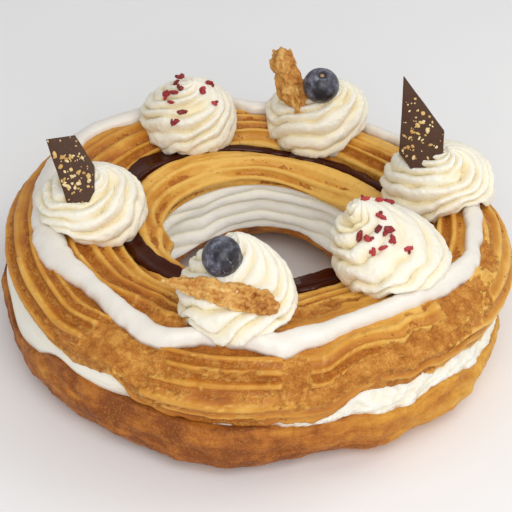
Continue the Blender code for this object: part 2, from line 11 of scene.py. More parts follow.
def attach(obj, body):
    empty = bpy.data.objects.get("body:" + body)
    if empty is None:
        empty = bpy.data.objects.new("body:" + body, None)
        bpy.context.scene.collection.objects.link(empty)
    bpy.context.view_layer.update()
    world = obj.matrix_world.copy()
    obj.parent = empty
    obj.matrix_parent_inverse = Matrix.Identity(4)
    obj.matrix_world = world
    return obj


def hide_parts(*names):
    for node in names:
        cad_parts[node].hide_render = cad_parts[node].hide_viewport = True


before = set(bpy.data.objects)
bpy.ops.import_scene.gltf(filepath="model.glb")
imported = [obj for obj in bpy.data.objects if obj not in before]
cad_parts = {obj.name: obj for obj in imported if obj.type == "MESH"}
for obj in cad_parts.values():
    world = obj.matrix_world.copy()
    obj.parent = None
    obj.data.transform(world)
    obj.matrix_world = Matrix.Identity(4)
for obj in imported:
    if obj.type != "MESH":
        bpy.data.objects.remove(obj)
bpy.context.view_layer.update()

# --- Choux base -----------------------------------------------------------------------------------
# The lower half of a ring of choux paste, baked, cooled and sliced level. Its outside is browned,
# lumpy and finely wrinkled, paler at the right partly where shielded from the oven's heat and partly as
# painted light.

MM = 0.001
# Where the middle of the ring stands in the frame.
AXIS = (2.6, 1.6, 0)
BASE_COLUMNS = 720
BASE_ROWS = 84
# Rows across a cut face.
CUT_ROWS = 8
# Lists of pairs give a size in millimetres at some angles in degrees round the ring.
BASE_EDGE_HEIGHT = [(20, 25), (90, 28), (150, 28), (186, 24), (198, 21), (207, 24.5), (211, 26.5), (215, 31),
                    (219, 32.8), (224, 30.5), (230, 30), (238, 30), (247, 29), (258, 28.3), (269, 28),
                    (277, 24.5), (286, 24), (293, 26), (300, 25), (307, 23), (315, 28.2), (322, 26),
                    (329, 21.3), (350, 24)]
BASE_RADIUS = [(0, 99), (40, 99), (90, 101), (150, 105), (176, 110), (188, 107), (199, 105.5), (214, 103.5),
               (226, 102), (238, 101), (248, 101.5), (259, 103), (267, 102), (275, 98.5), (290, 97),
               (297, 101), (308, 100.5), (318, 103.5), (328, 103), (344, 102.5)]
BASE_INNER_RADIUS = [(0, 46), (45, 42), (70, 47), (100, 47), (125, 43), (160, 44), (220, 46), (300, 46)]
BASE_INNER_EDGE_HEIGHT = 18.0
# How brown the base is, by angle: partly its baking, partly painted shade, darker away from the key light at
# the right.
BASE_BAKE_AND_SHADE = [(0, 0.25), (40, 0.6), (120, 0.8), (180, 0.75), (235, 0.85), (280, 0.8), (300, 0.5), (325, 0.25)]


def around(pairs, angles):
    """Values at some angles on the smooth closed curve through (angle, value) pairs."""
    knots = np.array([angle for angle, _ in pairs], float)
    values = np.array([value for _, value in pairs], float)
    knots = np.concatenate([knots[-2:] - 360, knots, knots[:2] + 360])
    values = np.concatenate([values[-2:], values, values[:2]])
    angles = (np.asarray(angles, float) - knots[2]) % 360 + knots[2]
    here = np.minimum(np.searchsorted(knots, angles, side="right") - 1, len(knots) - 3)
    a0, a1, a2, a3 = (knots[here + k] for k in (-1, 0, 1, 2))
    v0, v1, v2, v3 = (values[here + k] for k in (-1, 0, 1, 2))
    span = a2 - a1
    t = (angles - a1) / span
    return ((2 * t**3 - 3 * t**2 + 1) * v1 + (t**3 - 2 * t**2 + t) * (v2 - v0) / (a2 - a0) * span
            + (3 * t**2 - 2 * t**3) * v2 + (t**3 - t**2) * (v3 - v1) / (a3 - a1) * span)


def section_through(corners, count):
    """A smooth section through a few (radius, height) corners, each given for every angle."""
    columns = np.zeros(max(np.size(radius) for radius, _ in corners))
    corners = np.array([(radius + columns, height + columns) for radius, height in corners])
    ends = np.concatenate([2 * corners[:1] - corners[1:2], corners, 2 * corners[-1:] - corners[-2:-1]])
    place = np.linspace(0, len(corners) - 1, 241)
    first = np.minimum(place.astype(int), len(corners) - 2)
    t = (place - first)[:, None, None]
    p0, p1, p2, p3 = (ends[first + k] for k in range(4))
    dense = 0.5 * (2 * p1 + (p2 - p0) * t + (2 * p0 - 5 * p1 + 4 * p2 - p3) * t**2
                   + (3 * p1 - p0 - 3 * p2 + p3) * t**3)
    run = np.concatenate([np.zeros((1, dense.shape[2])),
                          np.cumsum(np.linalg.norm(np.diff(dense, axis=0), axis=1), axis=0)])
    section = np.empty((count, 2, dense.shape[2]))
    for column in range(dense.shape[2]):
        even = np.linspace(0, run[-1, column], count)
        for axis in (0, 1):
            section[:, axis, column] = np.interp(even, run[:, column], dense[:, axis, column])
    return section


def straight(start, end, count):
    """The rows between two rows of a section, without either of them."""
    share = (np.arange(1, count + 1) / (count + 1))[:, None, None]
    return start * (1 - share) + end * share


def outward(section):
    """Unit normals of a section that runs round its solid with the solid on the left."""
    along = np.gradient(section, axis=0)
    along /= np.linalg.norm(along, axis=1, keepdims=True) + 1e-9
    return np.stack([along[:, 1], -along[:, 0]], axis=1)


def placed(section, angles):
    """Points in millimetres of a section at each of its angles, row by row."""
    turn = np.radians(angles)
    return np.stack([section[:, 0] * np.cos(turn), section[:, 0] * np.sin(turn), section[:, 1]], axis=-1)


def circle(radius, angles):
    """Points in millimetres of a level circle about the ring's axis."""
    turn = np.radians(angles)
    return np.stack([np.cos(turn) * radius, np.sin(turn) * radius, 0 * turn], axis=-1)


def laid(section, angles, stretch):
    """Coordinates that run slowly round the ring and fully across it, for what the nozzle drew out."""
    step = np.linalg.norm(np.diff(section, axis=0), axis=1)
    run = np.concatenate([np.zeros((1, step.shape[1])), np.cumsum(step, axis=0)]).mean(axis=1)
    return circle(80 / stretch, angles) + np.array([0, 0, 1]) * run[:, None, None]


GRADIENTS = np.random.default_rng(7).normal(size=(256, 3))
GRADIENTS /= np.linalg.norm(GRADIENTS, axis=1, keepdims=True)
SHUFFLE = np.random.default_rng(8).permutation(256)


def grain(points, size, octaves=3, seed=0):
    """Smooth noise, about -1 to 1, with features of a size in millimetres."""
    total = np.zeros(points.shape[:-1])
    for octave in range(octaves):
        spots = points / size * 2**octave + seed * 17.3
        cell = np.floor(spots).astype(int)
        near = spots - cell
        ease = near**3 * (near * (near * 6 - 15) + 10)
        for corner in np.ndindex(2, 2, 2):
            x, y, z = np.moveaxis(cell + corner, -1, 0) & 255
            way = GRADIENTS[SHUFFLE[(SHUFFLE[(SHUFFLE[x] + y) & 255] + z) & 255]]
            weight = np.where(corner, ease, 1 - ease).prod(axis=-1)
            total += weight * (way * (near - corner)).sum(axis=-1) * 1.6 / 2**octave
    return total


def soft_step(value, low, high):
    """0 below low, 1 above high, and smooth between them."""
    share = np.clip((value - low) / (high - low), 0, 1)
    return share * share * (3 - 2 * share)


def meshed(name, bm):
    """A new mesh from a finished bmesh."""
    mesh = bpy.data.meshes.new(name)
    bm.to_mesh(mesh)
    bm.free()
    return mesh


def rolled(name, spots, shut, **paints):
    """A grid moved to rows and columns of points in millimetres, its ends joined, with painted values.

    The last column always meets the first, and the last row does where shut is true."""
    rows, columns = spots.shape[:2]
    steps = rows if shut else rows - 1
    bm = bmesh.new()
    bmesh.ops.create_grid(bm, x_segments=columns, y_segments=steps, size=1.0)
    mesh = meshed(name, bm)
    flat = np.empty(len(mesh.vertices) * 3)
    mesh.vertices.foreach_get("co", flat)
    x, y, _ = flat.reshape(-1, 3).T
    column = np.round((x + 1) / 2 * columns).astype(int) % columns
    row = np.round((y + 1) / 2 * steps).astype(int) % rows
    mesh.vertices.foreach_set("co", spots[row, column].ravel())
    for label, values in paints.items():
        layer = mesh.attributes.new(label, "FLOAT" if values.ndim == 2 else "FLOAT_VECTOR", "POINT")
        layer.data.foreach_set("value" if values.ndim == 2 else "vector", values[row, column].ravel())
    bm = bmesh.new()
    bm.from_mesh(mesh)
    bmesh.ops.remove_doubles(bm, verts=bm.verts, dist=1e-5)
    bmesh.ops.recalc_face_normals(bm, faces=bm.faces)
    bm.to_mesh(mesh)
    bm.free()
    return mesh


def settle(name, mesh, finish):
    """Put a mesh made in millimetres in its place in the frame, as a finished object."""
    mesh.transform(Matrix.Scale(MM, 4) @ Matrix.Translation(AXIS))
    mesh.shade_smooth()
    mesh.materials.clear()
    mesh.materials.append(finish)
    made = bpy.data.objects.new(name, mesh)
    bpy.context.scene.collection.objects.link(made)
    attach(made, "root")
    return made


def rgb(red, green, blue):
    """A colour on the usual 0 to 255 scale, as the shader's linear values."""
    return tuple(((value / 255 + 0.055) / 1.055) ** 2.4 if value > 10 else value / 3295
                 for value in (red, green, blue)) + (1.0,)


class Finish:
    """A procedural finish for one of the pieces."""

    def __init__(self, name, roughness):
        self.made = bpy.data.materials.new(name)
        self.made.use_nodes = True
        self.tree = self.made.node_tree
        self.shader = self.tree.nodes["Principled BSDF"]
        self.shader.inputs["Roughness"].default_value = roughness
        self.spots = self.tree.nodes.new("ShaderNodeTexCoord").outputs["Object"]

    def node(self, kind, inputs=(), **settings):
        """A new node with its settings made and its inputs joined or set."""
        node = self.tree.nodes.new(kind)
        for key, value in settings.items():
            setattr(node, key, value)
        for key, value in dict(inputs).items():
            if isinstance(value, bpy.types.NodeSocket):
                self.tree.links.new(value, node.inputs[key])
            else:
                node.inputs[key].default_value = value
        return node

    def painted(self, label, output="Fac"):
        """A value that is painted on the piece."""
        return self.node("ShaderNodeAttribute", attribute_name=label).outputs[output]

    def noise(self, size, detail=4.0, rough=0.55, spots=None):
        """Noise from 0 to 1 with features of a size in millimetres."""
        return self.node("ShaderNodeTexNoise", {"Vector": spots or self.spots, "Scale": 1 / (size * MM),
                                                "Detail": detail, "Roughness": rough}).outputs["Fac"]

    def cell_edges(self, size):
        """Distance from the nearest edge of cells of a size in millimetres."""
        return self.node("ShaderNodeTexVoronoi", {"Vector": self.spots, "Scale": 1 / (size * MM)},
                         feature="DISTANCE_TO_EDGE").outputs["Distance"]

    def maths(self, kind, first, second):
        """Two values combined."""
        return self.node("ShaderNodeMath", {0: first, 1: second}, operation=kind).outputs[0]

    def sum(self, first, second):
        """Two values added."""
        return self.maths("ADD", first, second)

    def product(self, first, second):
        """Two values multiplied."""
        return self.maths("MULTIPLY", first, second)

    def stretch(self, value, low, high, to_low=0.0, to_high=1.0):
        """A value stretched from one range to another, and kept inside it."""
        return self.node("ShaderNodeMapRange", {"Value": value, "From Min": low, "From Max": high,
                                                "To Min": to_low, "To Max": to_high}).outputs["Result"]

    def spread(self, value, to_low, to_high):
        """Noise, which keeps mostly between 0.3 and 0.7, stretched to a range."""
        return self.stretch(value, 0.3, 0.7, to_low, to_high)

    def ramp(self, value, *stops):
        """A colour for a value, from (position, colour) stops."""
        node = self.node("ShaderNodeValToRGB", {"Fac": value})
        for index, (position, colour) in enumerate(stops):
            elements = node.color_ramp.elements
            stop = elements[index] if index < 2 else elements.new(position)
            stop.position = position
            stop.color = rgb(*colour)
        return node.outputs["Color"]

    def mix(self, share, first, second):
        """Two colours mixed by a share."""
        return self.node("ShaderNodeMix", {0: share, 6: first, 7: second}, data_type="RGBA").outputs[2]

    def relief(self, *heights):
        """Fine relief from (height, depth in millimetres) pairs."""
        normal = None
        for height, depth in heights:
            inputs = {"Height": height, "Distance": depth * MM, "Strength": 1.0}
            if normal:
                inputs["Normal"] = normal
            normal = self.node("ShaderNodeBump", inputs).outputs["Normal"]
        self.tree.links.new(normal, self.shader.inputs["Normal"])

    def set(self, **sockets):
        """Join or set sockets of the shader, by name."""
        for key, value in sockets.items():
            socket = self.shader.inputs[key.replace("_", " ")]
            if isinstance(value, bpy.types.NodeSocket):
                self.tree.links.new(value, socket)
            else:
                socket.default_value = value


angles = np.arange(BASE_COLUMNS) * 360 / BASE_COLUMNS
outer = around(BASE_RADIUS, angles)
inner = around(BASE_INNER_RADIUS, angles)
edge = around(BASE_EDGE_HEIGHT, angles) + 0.7 * grain(circle(100, angles), 9, 3, 1)
skin = section_through([(inner, BASE_INNER_EDGE_HEIGHT), (inner + 1.5, 14), (inner + 12, 6), (74, 0.0),
                        (outer - 14, 0.0), (outer - 3, 8), (outer, 17), (outer - 1, edge)], BASE_ROWS)
skin[:, 1] = np.maximum(skin[:, 1], 0)
spots = placed(skin, angles)
wrinkles = laid(skin, angles, 4)
swell = 1.3 * grain(spots, 17, 2, 2) + 0.6 * grain(wrinkles, 4, 2, 3) + 0.4 * grain(spots, 5, 3, 4)
free = soft_step(skin[:, 1], 0.0, 7.0) * soft_step(edge - skin[:, 1], -0.5, 3.0)
skin += outward(skin) * (swell * free)[:, None, :]
skin[:, 1] = np.maximum(skin[:, 1], 0)
section = np.concatenate([skin, straight(skin[-1:], skin[:1], CUT_ROWS)])
bake = np.broadcast_to(around(BASE_BAKE_AND_SHADE, angles), section[:, 0].shape)
swell = np.concatenate([swell, np.zeros((CUT_ROWS, BASE_COLUMNS))])

finish = Finish("base_crust", 0.62)
blotch = finish.noise(14, 3)
mottle = finish.noise(3.2, 5, 0.62)
drawn_out = finish.painted("lay", "Vector")
fibre = finish.noise(1.6, 4, 0.6, drawn_out)
folds = finish.noise(4, 3, 0.5, drawn_out)
# Painted shade by angle: the base is browner away from the key light at the right, besides its real baking.
brown = finish.sum(finish.painted("bake"), finish.spread(blotch, -0.2, 0.24))
brown = finish.sum(brown, finish.spread(mottle, -0.12, 0.14))
brown = finish.sum(brown, finish.spread(folds, -0.16, 0.16))
# Painted shade: browner where the skin sinks in and paler where it swells out.
brown = finish.sum(brown, finish.stretch(finish.painted("swell"), -1.2, 1.2, 0.14, -0.14))
colour = finish.ramp(brown, (0.0, (232, 180, 80)), (0.35, (210, 145, 54)), (0.7, (176, 104, 38)),
                     (1.0, (134, 70, 24)))
flecks = finish.stretch(finish.noise(0.9, 4, 0.7), 0.5, 0.68, 0, 0.4)
colour = finish.mix(flecks, colour, rgb(222, 158, 72))
colour = finish.mix(finish.stretch(fibre, 0.58, 0.75, 0, 0.3), colour, rgb(150, 84, 30))
specks = finish.stretch(finish.noise(1.1, 2), 0.66, 0.74)
colour = finish.mix(finish.product(specks, finish.stretch(blotch, 0.45, 0.6)), colour, rgb(104, 54, 20))
finish.set(Base_Color=colour, Roughness=finish.spread(mottle, 0.5, 0.72), Specular_IOR_Level=0.25)
finish.relief((mottle, 0.7), (folds, 1.0), (flecks, 0.12), (fibre, 0.3))
base = rolled("base", placed(section, angles), True, bake=bake, swell=swell,
              lay=laid(section, angles, 5) * MM)
base = settle("choux_base_crust", base, finish.made)
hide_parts("choux_base")

# --- Cream filling --------------------------------------------------------------------------------
# Whipped cream piped between the two halves. It was smoothed off with a knife at the left of the
# outside, is fluffy and torn at the right, and keeps the nozzle's flutes on the wall of the hole.

LID_EDGE_HEIGHT = [(20, 35), (90, 38), (150, 39), (185, 42), (203, 40), (212, 38.7), (220, 36), (226, 37),
                   (232, 38.7), (236, 39.3), (241, 32.5), (247, 30.5), (258, 29.5), (272, 30.5), (281, 30),
                   (285, 31), (289, 36), (293, 40), (298, 40), (304, 36.5), (308, 38.5), (312, 36.3),
                   (322, 36.5), (330, 33), (348, 33)]
LID_RADIUS = [(0, 104), (16, 100), (45, 95), (70, 96), (95, 99.5), (125, 106), (150, 107), (180, 106),
              (225, 105), (262, 104), (300, 104.5), (335, 106)]
LID_INNER_RADIUS = 42.0
LID_INNER_EDGE_HEIGHT = 43.0
LID_EDGE_INSET = 5.0
CREAM_COLUMNS = 640
FACE_ROWS = 34
WALL_ROWS = 72
BRIDGE_ROWS = 4
# How fluffy the cream is on the outside, by angle.
FLUFFY = [(0, 0.5), (60, 0.3), (150, 0.1), (250, 0.05), (270, 0.5), (290, 1), (330, 1)]
FLUTES_IN_WALL = 5
# How far the cream stops short of the edge, where the two halves nearly meet at the front.
CREAM_SET_BACK = [(0, 0), (180, 0), (232, 0), (241, 2.6), (262, 3.0), (272, 2.4), (280, 0.4), (300, 0)]


def cream_finish(name, hollow_shade, pale, warm):
    """Whipped cream: soft, faintly glossy, with painted warm shade in its hollows."""
    finish = Finish(name, 0.42)
    drift = finish.noise(9, 3)
    hollow = finish.stretch(finish.painted("hollow"), -0.1, 0.75)
    colour = finish.mix(finish.spread(drift, 0.0, 0.4), rgb(*pale), rgb(*warm))
    # Painted shade: the hollows are mixed towards a warm yellow.
    colour = finish.mix(finish.product(hollow, hollow_shade), colour, rgb(243, 228, 186))
    finish.set(Base_Color=colour, Roughness=finish.spread(drift, 0.36, 0.5), Subsurface_Weight=0.25,
               Subsurface_Radius=(1.0, 0.8, 0.45), Subsurface_Scale=0.004, Specular_IOR_Level=0.35)
    finish.relief((finish.noise(2.4, 4, 0.6), 0.25), (finish.noise(0.6, 2), 0.06))
    return finish.made


angles = np.arange(CREAM_COLUMNS) * 360 / CREAM_COLUMNS
lid_outer = around(LID_RADIUS, angles) - LID_EDGE_INSET
base_outer = around(BASE_RADIUS, angles) - 1.0
base_inner = around(BASE_INNER_RADIUS, angles)
fluffy = around(FLUFFY, angles)


def lid_cut(radius):
    """Height of the lid's flat cut face at a radius, for every angle."""
    share = (radius - LID_INNER_RADIUS - 1.2) / (lid_outer - LID_INNER_RADIUS - 1.2)
    return LID_INNER_EDGE_HEIGHT + share * (around(LID_EDGE_HEIGHT, angles) - LID_INNER_EDGE_HEIGHT)


def base_cut(radius):
    """Height of the base's flat cut face at a radius, for every angle."""
    share = (radius - base_inner) / (base_outer - base_inner)
    return BASE_INNER_EDGE_HEIGHT + share * (around(BASE_EDGE_HEIGHT, angles) - BASE_INNER_EDGE_HEIGHT)


drawn_in = around(CREAM_SET_BACK, angles)
low = base_outer - 1.2 - drawn_in
high = lid_outer - 0.8 - drawn_in
gap = np.maximum(lid_cut(high) - base_cut(low), 0)
outer_face = section_through([(low - 1.5, base_cut(low) - 1.6), (low, base_cut(low)),
                              ((low + high) / 2 + 0.12 * gap - 0.3, (base_cut(low) + lid_cut(high)) / 2),
                              (high, lid_cut(high)), (high - 1.5, lid_cut(high) + 1.6)], FACE_ROWS)
top = LID_INNER_RADIUS + 2.0
bottom = base_inner - 0.5
inner_face = section_through([(top + 2, lid_cut(top + 2) + 1.5), (top + 0.3, lid_cut(top) + 0.3),
                              (top - 0.6, 37.0), (top + 1.2, 31.0), (top + 0.6, 25.0),
                              (bottom, base_cut(bottom) + 0.5), (bottom + 2, base_cut(bottom + 2) - 1.5)],
                             WALL_ROWS)
wall = np.linspace(0, 1, WALL_ROWS)[:, None]
drift = (0.35 * np.sin(np.radians(2 * angles + 50)) + 0.2 * np.sin(np.radians(5 * angles))
         + 0.45 * grain(circle(100, angles), 60, 2, 17))
flute = np.abs(np.sin(math.pi * (wall * FLUTES_IN_WALL + drift))) ** 0.8
spots = placed(inner_face, angles)
inner_face += outward(inner_face) * ((1.5 * flute - 0.8 + 0.25 * grain(spots, 5, 2, 5))
                                     * soft_step(wall, 0, 0.12) * soft_step(1 - wall, 0, 0.1))[:, None, :]
spots = placed(outer_face, angles)
face = np.linspace(0, 1, FACE_ROWS)[:, None]
rough = 0.9 * grain(spots, 5, 4, 6) + 0.5 * grain(spots, 1.8, 3, 7)
smooth = 0.35 * grain(laid(outer_face, angles, 6), 5, 2, 8)
outer_face += outward(outer_face) * ((rough * fluffy + smooth * (1 - fluffy))
                                     * soft_step(face, 0, 0.15) * soft_step(1 - face, 0, 0.15))[:, None, :]
section = np.concatenate([outer_face, straight(outer_face[-1:], inner_face[:1], BRIDGE_ROWS), inner_face,
                          straight(inner_face[-1:], outer_face[:1], BRIDGE_ROWS)])
# The filling's hollows, for painted warm shade: dips in the fluffy outside and the grooves between the wall's
# flutes.
hollow = np.zeros(section[:, 0].shape)
hollow[:FACE_ROWS] = 0.25 - 0.3 * rough * fluffy
hollow[FACE_ROWS + BRIDGE_ROWS:-BRIDGE_ROWS] = 0.4 - 0.6 * flute
# The filling's cream is the rosettes' cream painted paler and whiter, as painted light on the wall of the
# hole.
filling = settle("cream_filling_flutes", rolled("filling", placed(section, angles), True, hollow=hollow),
                 cream_finish("filling_cream", 0.6, (255, 254, 247), (253, 247, 230)))
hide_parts("cream_filling")

# --- Choux lid ------------------------------------------------------------------------------------
# The upper half of the ring, piped as two strands side by side through a star nozzle, so it is
# ridged all round. Its skin baked to smooth golden plates and tore between them as it rose.

CREST_HEIGHT = [(0, 61), (50, 56.5), (95, 59), (140, 61.5), (180, 62), (240, 61.5), (310, 61.5)]
GROOVE_RADIUS = [(4, 67), (28, 60), (48, 59), (80, 56), (105, 59), (130, 62), (146, 63), (172, 58), (200, 54),
                 (226, 52), (250, 49), (290, 49), (310, 50.5), (335, 57)]
RIDGES = 15
RIDGE_DEPTH = 2.4
RIDGE_WANDER = 0.35
LID_COLUMNS = 600
LID_ROWS = 154
# Where the skin has torn away: angle, half width, share of the way across, half share.
TORN = [(239, 12, 0.21, 0.115), (230, 8, 0.09, 0.12), (244, 6, 0.10, 0.07), (262, 11, 0.27, 0.022),
        (278, 3.6, 0.24, 0.12), (293, 19, 0.16, 0.055), (310, 12, 0.20, 0.10), (321, 13, 0.26, 0.10),
        (291, 12, 0.55, 0.045), (244, 6, 0.435, 0.035), (222, 5, 0.146, 0.03), (205, 7, 0.385, 0.02),
        (343, 7, 0.30, 0.05), (300, 10, 0.03, 0.04), (120, 9, 0.2, 0.06), (60, 11, 0.12, 0.07),
        (25, 6, 0.3, 0.03), (150, 8, 0.1, 0.04), (85, 6, 0.33, 0.03)]
PATCH_DEPTH = 1.4
# How pale the crust is, by angle: partly its baking, partly painted light, paler at the right where the key
# light falls and darker at the left and front in painted shade.
LID_PALENESS_AND_LIGHT = [(0, 0.18), (90, 0.1), (180, -0.1), (190, -0.1), (203, 0.0), (225, -0.08), (262, -0.06),
            (284, -0.13), (300, 0.03), (330, 0.14), (347, 0.24)]
# Flakes of skin that still stand up: angles they run between, and shares of the way across.
FLAKES = [(251, 274, 0.262, 0.32), (245, 256, 0.165, 0.215), (256.5, 273, 0.17, 0.25),
          (243, 271, 0.06, 0.145), (192, 229.5, 0.235, 0.32), (196, 227, 0.14, 0.21),
          (284, 318, 0.25, 0.33), (205, 233, 0.42, 0.5)]
# Middle of the white icing, under which the ridges are pressed flatter.
WHITE_RADIUS = [(3, 87.6), (25, 88), (44, 87), (60, 87), (70, 84), (92, 82), (101, 90), (126, 91),
                (142, 96), (165, 92), (185, 88), (196, 88), (202, 87.8), (210, 85.8), (220, 84.6),
                (230, 86.6), (240, 89.3), (246, 89.6), (251, 88), (258, 84.8), (264, 84.3), (270, 86.3),
                (275, 88.5), (280, 86.4), (285, 85.6), (291, 84), (305, 83.4), (315, 85.4), (322, 87.6),
                (330, 89), (338, 90.6), (345, 88.5), (352, 87.8)]
# How far the torn lower edge hangs below the cut.
EDGE_SAG = [(0, 0.6), (60, 0), (180, 0), (225, 0.3), (262, 0.8), (300, 0.8), (325, 2.0), (345, 2.0)]
FLAP_ROWS = 6
# Where the inner strand's end laps over its start, and where a tongue of crust hangs into the hole.
LAP_ANGLE = 186
TONGUE_ANGLE = 190


def lid_skin(angles, count):
    """The lid's smooth outer skin, from its outer cut edge over the top to its inner one."""
    edge = around(LID_EDGE_HEIGHT, angles)
    bulge = around(LID_RADIUS, angles)
    groove = around(GROOVE_RADIUS, angles)
    crest = around(CREST_HEIGHT, angles)
    rise = crest - edge
    return section_through([
        (bulge - LID_EDGE_INSET, edge),
        (bulge - 0.6, edge + 0.26 * rise),
        (bulge, edge + 0.46 * rise),
        (bulge - 4, edge + 0.70 * rise),
        (bulge - 11.5, edge + 0.89 * rise),
        (bulge - 22, crest),
        (np.maximum(bulge - 33, groove + 9), crest - 1.2),
        (groove + 5.5, crest - 5.5),
        (groove, crest - 8),
        (groove * 0.5 + 21.5, crest - 4.2),
        (LID_INNER_RADIUS + 0.4, crest - 9.5),
        (LID_INNER_RADIUS - 0.8, crest - 15),
        (LID_INNER_RADIUS + 1.2, LID_INNER_EDGE_HEIGHT),
    ], count)


angles = np.arange(LID_COLUMNS) * 360 / LID_COLUMNS
skin = lid_skin(angles, LID_ROWS)
spots = placed(skin, angles)
lay = laid(skin, angles, 6)
share = np.linspace(0, 1, LID_ROWS)[:, None]
wander = RIDGE_WANDER * np.sin(np.radians(3 * angles + 40)) * np.sin(math.pi * share)
phase = share * 2 * RIDGES - wander + 0.75 * grain(lay, 18, 2, 9)
phase += 0.14 * np.sin(math.pi * phase) + 0.16 * np.cos(math.pi * phase)
dip = 0.5 - 0.5 * np.cos(math.pi * phase)
strength = np.clip(0.84 + 1.1 * grain(lay, 13, 2, 10), 0.2, 1.2) * (1 - 0.3 * soft_step(share, 0.52, 0.7))
valley = 0.45 * dip**1.5 + 0.55 * soft_step(dip, 0.42, 0.78)
lap = angles - LAP_ANGLE - 60 * (share - 0.78)
lap_share = soft_step(share, 0.66, 0.74) * soft_step(lap, -1.5, 0) * np.exp(-np.clip(lap, 0, None) / 9)
torn = np.zeros(valley.shape)
bite = 0.45 * grain(spots, 7, 4, 12) + 0.22 * grain(spots, 2.2, 3, 13)
for patch_angle, half_angle, patch_share, half_share in TORN:
    turn = (angles - patch_angle + 180) % 360 - 180
    reach = np.hypot(turn / half_angle, (share - patch_share) / half_share)
    torn = np.maximum(torn, soft_step(1.0 - reach + bite, -0.06, 0.14))
fringe = np.clip(1 - np.abs(torn - 0.35) / 0.35, 0, 1)
flake = np.zeros(valley.shape)
for start, end, low, high in FLAKES:
    inside = np.minimum(np.minimum(angles - start, end - angles) / 1.3,
                        np.minimum(share - low, high - share) / 0.014)
    flake = np.maximum(flake, soft_step(inside + 2.4 * bite, 0, 0.8))
torn = np.minimum(torn, 1 - flake)
fringe = np.maximum(fringe * (1 - flake), np.clip(1 - np.abs(flake - 0.6) / 0.4, 0, 1))
fibre = 0.5 * grain(spots, 3.0, 4, 14)
lift = (-RIDGE_DEPTH * valley * strength * (1 - 0.8 * torn)
        - PATCH_DEPTH * torn + 1.7 * fibre * torn + 0.25 * fringe + 0.25 * grain(spots, 6, 3, 15)
        + 1.5 * lap_share + 0.8 * flake)
seat = np.exp(-(((skin[:, 0] - around(WHITE_RADIUS, angles)) / 5.5) ** 4)) * soft_step(share, 0.16, 0.22)
lift -= 0.9 * seat * (1 - valley) * (1 - 0.5 * torn)
ends = soft_step(share, 0, 0.02) * soft_step(1 - share, 0, 0.02)
skin += outward(skin) * (lift * ends)[:, None, :]
flaps = grain(placed(skin[:1], angles), 7, 4, 16)
skin[:FLAP_ROWS, 1] += (1.5 * flaps - around(EDGE_SAG, angles)) * np.linspace(1, 0, FLAP_ROWS)[:, None]
tongue = np.exp(-(((angles - TONGUE_ANGLE) / 11) ** 2)) * soft_step(share, 0.76, 0.92)
skin[:, 0] -= 3.8 * tongue
skin[:, 1] -= 5.0 * tongue * soft_step(share, 0.88, 1.0)
section = np.concatenate([skin, straight(skin[-1:], skin[:1], CUT_ROWS)])
# A paler inner strand, plus painted light by angle: paler at the right under the key light, darker in painted
# shade at the left.
tone_and_light = 0.28 * soft_step(share, 0.52, 0.7) + around(LID_PALENESS_AND_LIGHT, angles)
paints = {"dip": dip * np.clip(strength, 0, 1), "tone_and_light": tone_and_light, "torn": torn, "fringe": fringe}
for label, values in paints.items():
    cut = np.full((CUT_ROWS, LID_COLUMNS), float(label == "torn"))
    paints[label] = np.concatenate([values, cut])

finish = Finish("lid_crust", 0.5)
blotch = finish.noise(13, 3)
mottle = finish.noise(2.6, 4, 0.6)
drawn = finish.noise(2.2, 4, 0.6, finish.painted("lay", "Vector"))
fine = finish.noise(0.8, 4, 0.7)
ragged = finish.sum(finish.spread(finish.noise(1.8, 5, 0.7), -0.22, 0.22),
                    finish.spread(finish.noise(9, 2), -0.22, 0.22))
torn_here = finish.sum(finish.painted("torn"), finish.stretch(ragged, -0.3, 0.3, -0.25, 0.25))
torn_here = finish.stretch(torn_here, 0.4, 0.5)
skin_left = finish.stretch(torn_here, 0, 1, 1, 0)
patchy = finish.sum(finish.painted("dip"), ragged)
patchy = finish.sum(patchy, finish.stretch(blotch, 0.38, 0.62, -0.24, 0.05))
band = finish.product(finish.stretch(patchy, 0.60, 0.66), skin_left)
gold = finish.sum(finish.spread(blotch, 0.42, 0.78), finish.spread(drawn, -0.11, 0.11))
# Painted shade: the crust is darker down in the ridges' valleys.
gold = finish.sum(gold, finish.stretch(finish.painted("dip"), 0.2, 0.85, 0.14, -0.48))
gold = finish.sum(gold, finish.painted("tone_and_light"))
smooth_colour = finish.ramp(gold, (0.0, (158, 88, 28)), (0.35, (190, 118, 40)), (0.7, (212, 150, 58)),
                            (1.0, (234, 184, 92)))
felt = finish.sum(finish.spread(mottle, 0.0, 0.4), finish.spread(fine, 0.0, 0.6))
crumb_shade = finish.sum(felt, finish.spread(finish.noise(5, 3), -0.3, 0.3))
torn_colour = finish.ramp(crumb_shade, (0.1, (164, 96, 32)), (0.5, (192, 124, 48)), (0.9, (220, 160, 76)))
band_colour = finish.ramp(felt, (0.1, (150, 84, 26)), (0.5, (180, 108, 36)), (0.9, (214, 148, 62)))
colour = finish.mix(band, smooth_colour, band_colour)
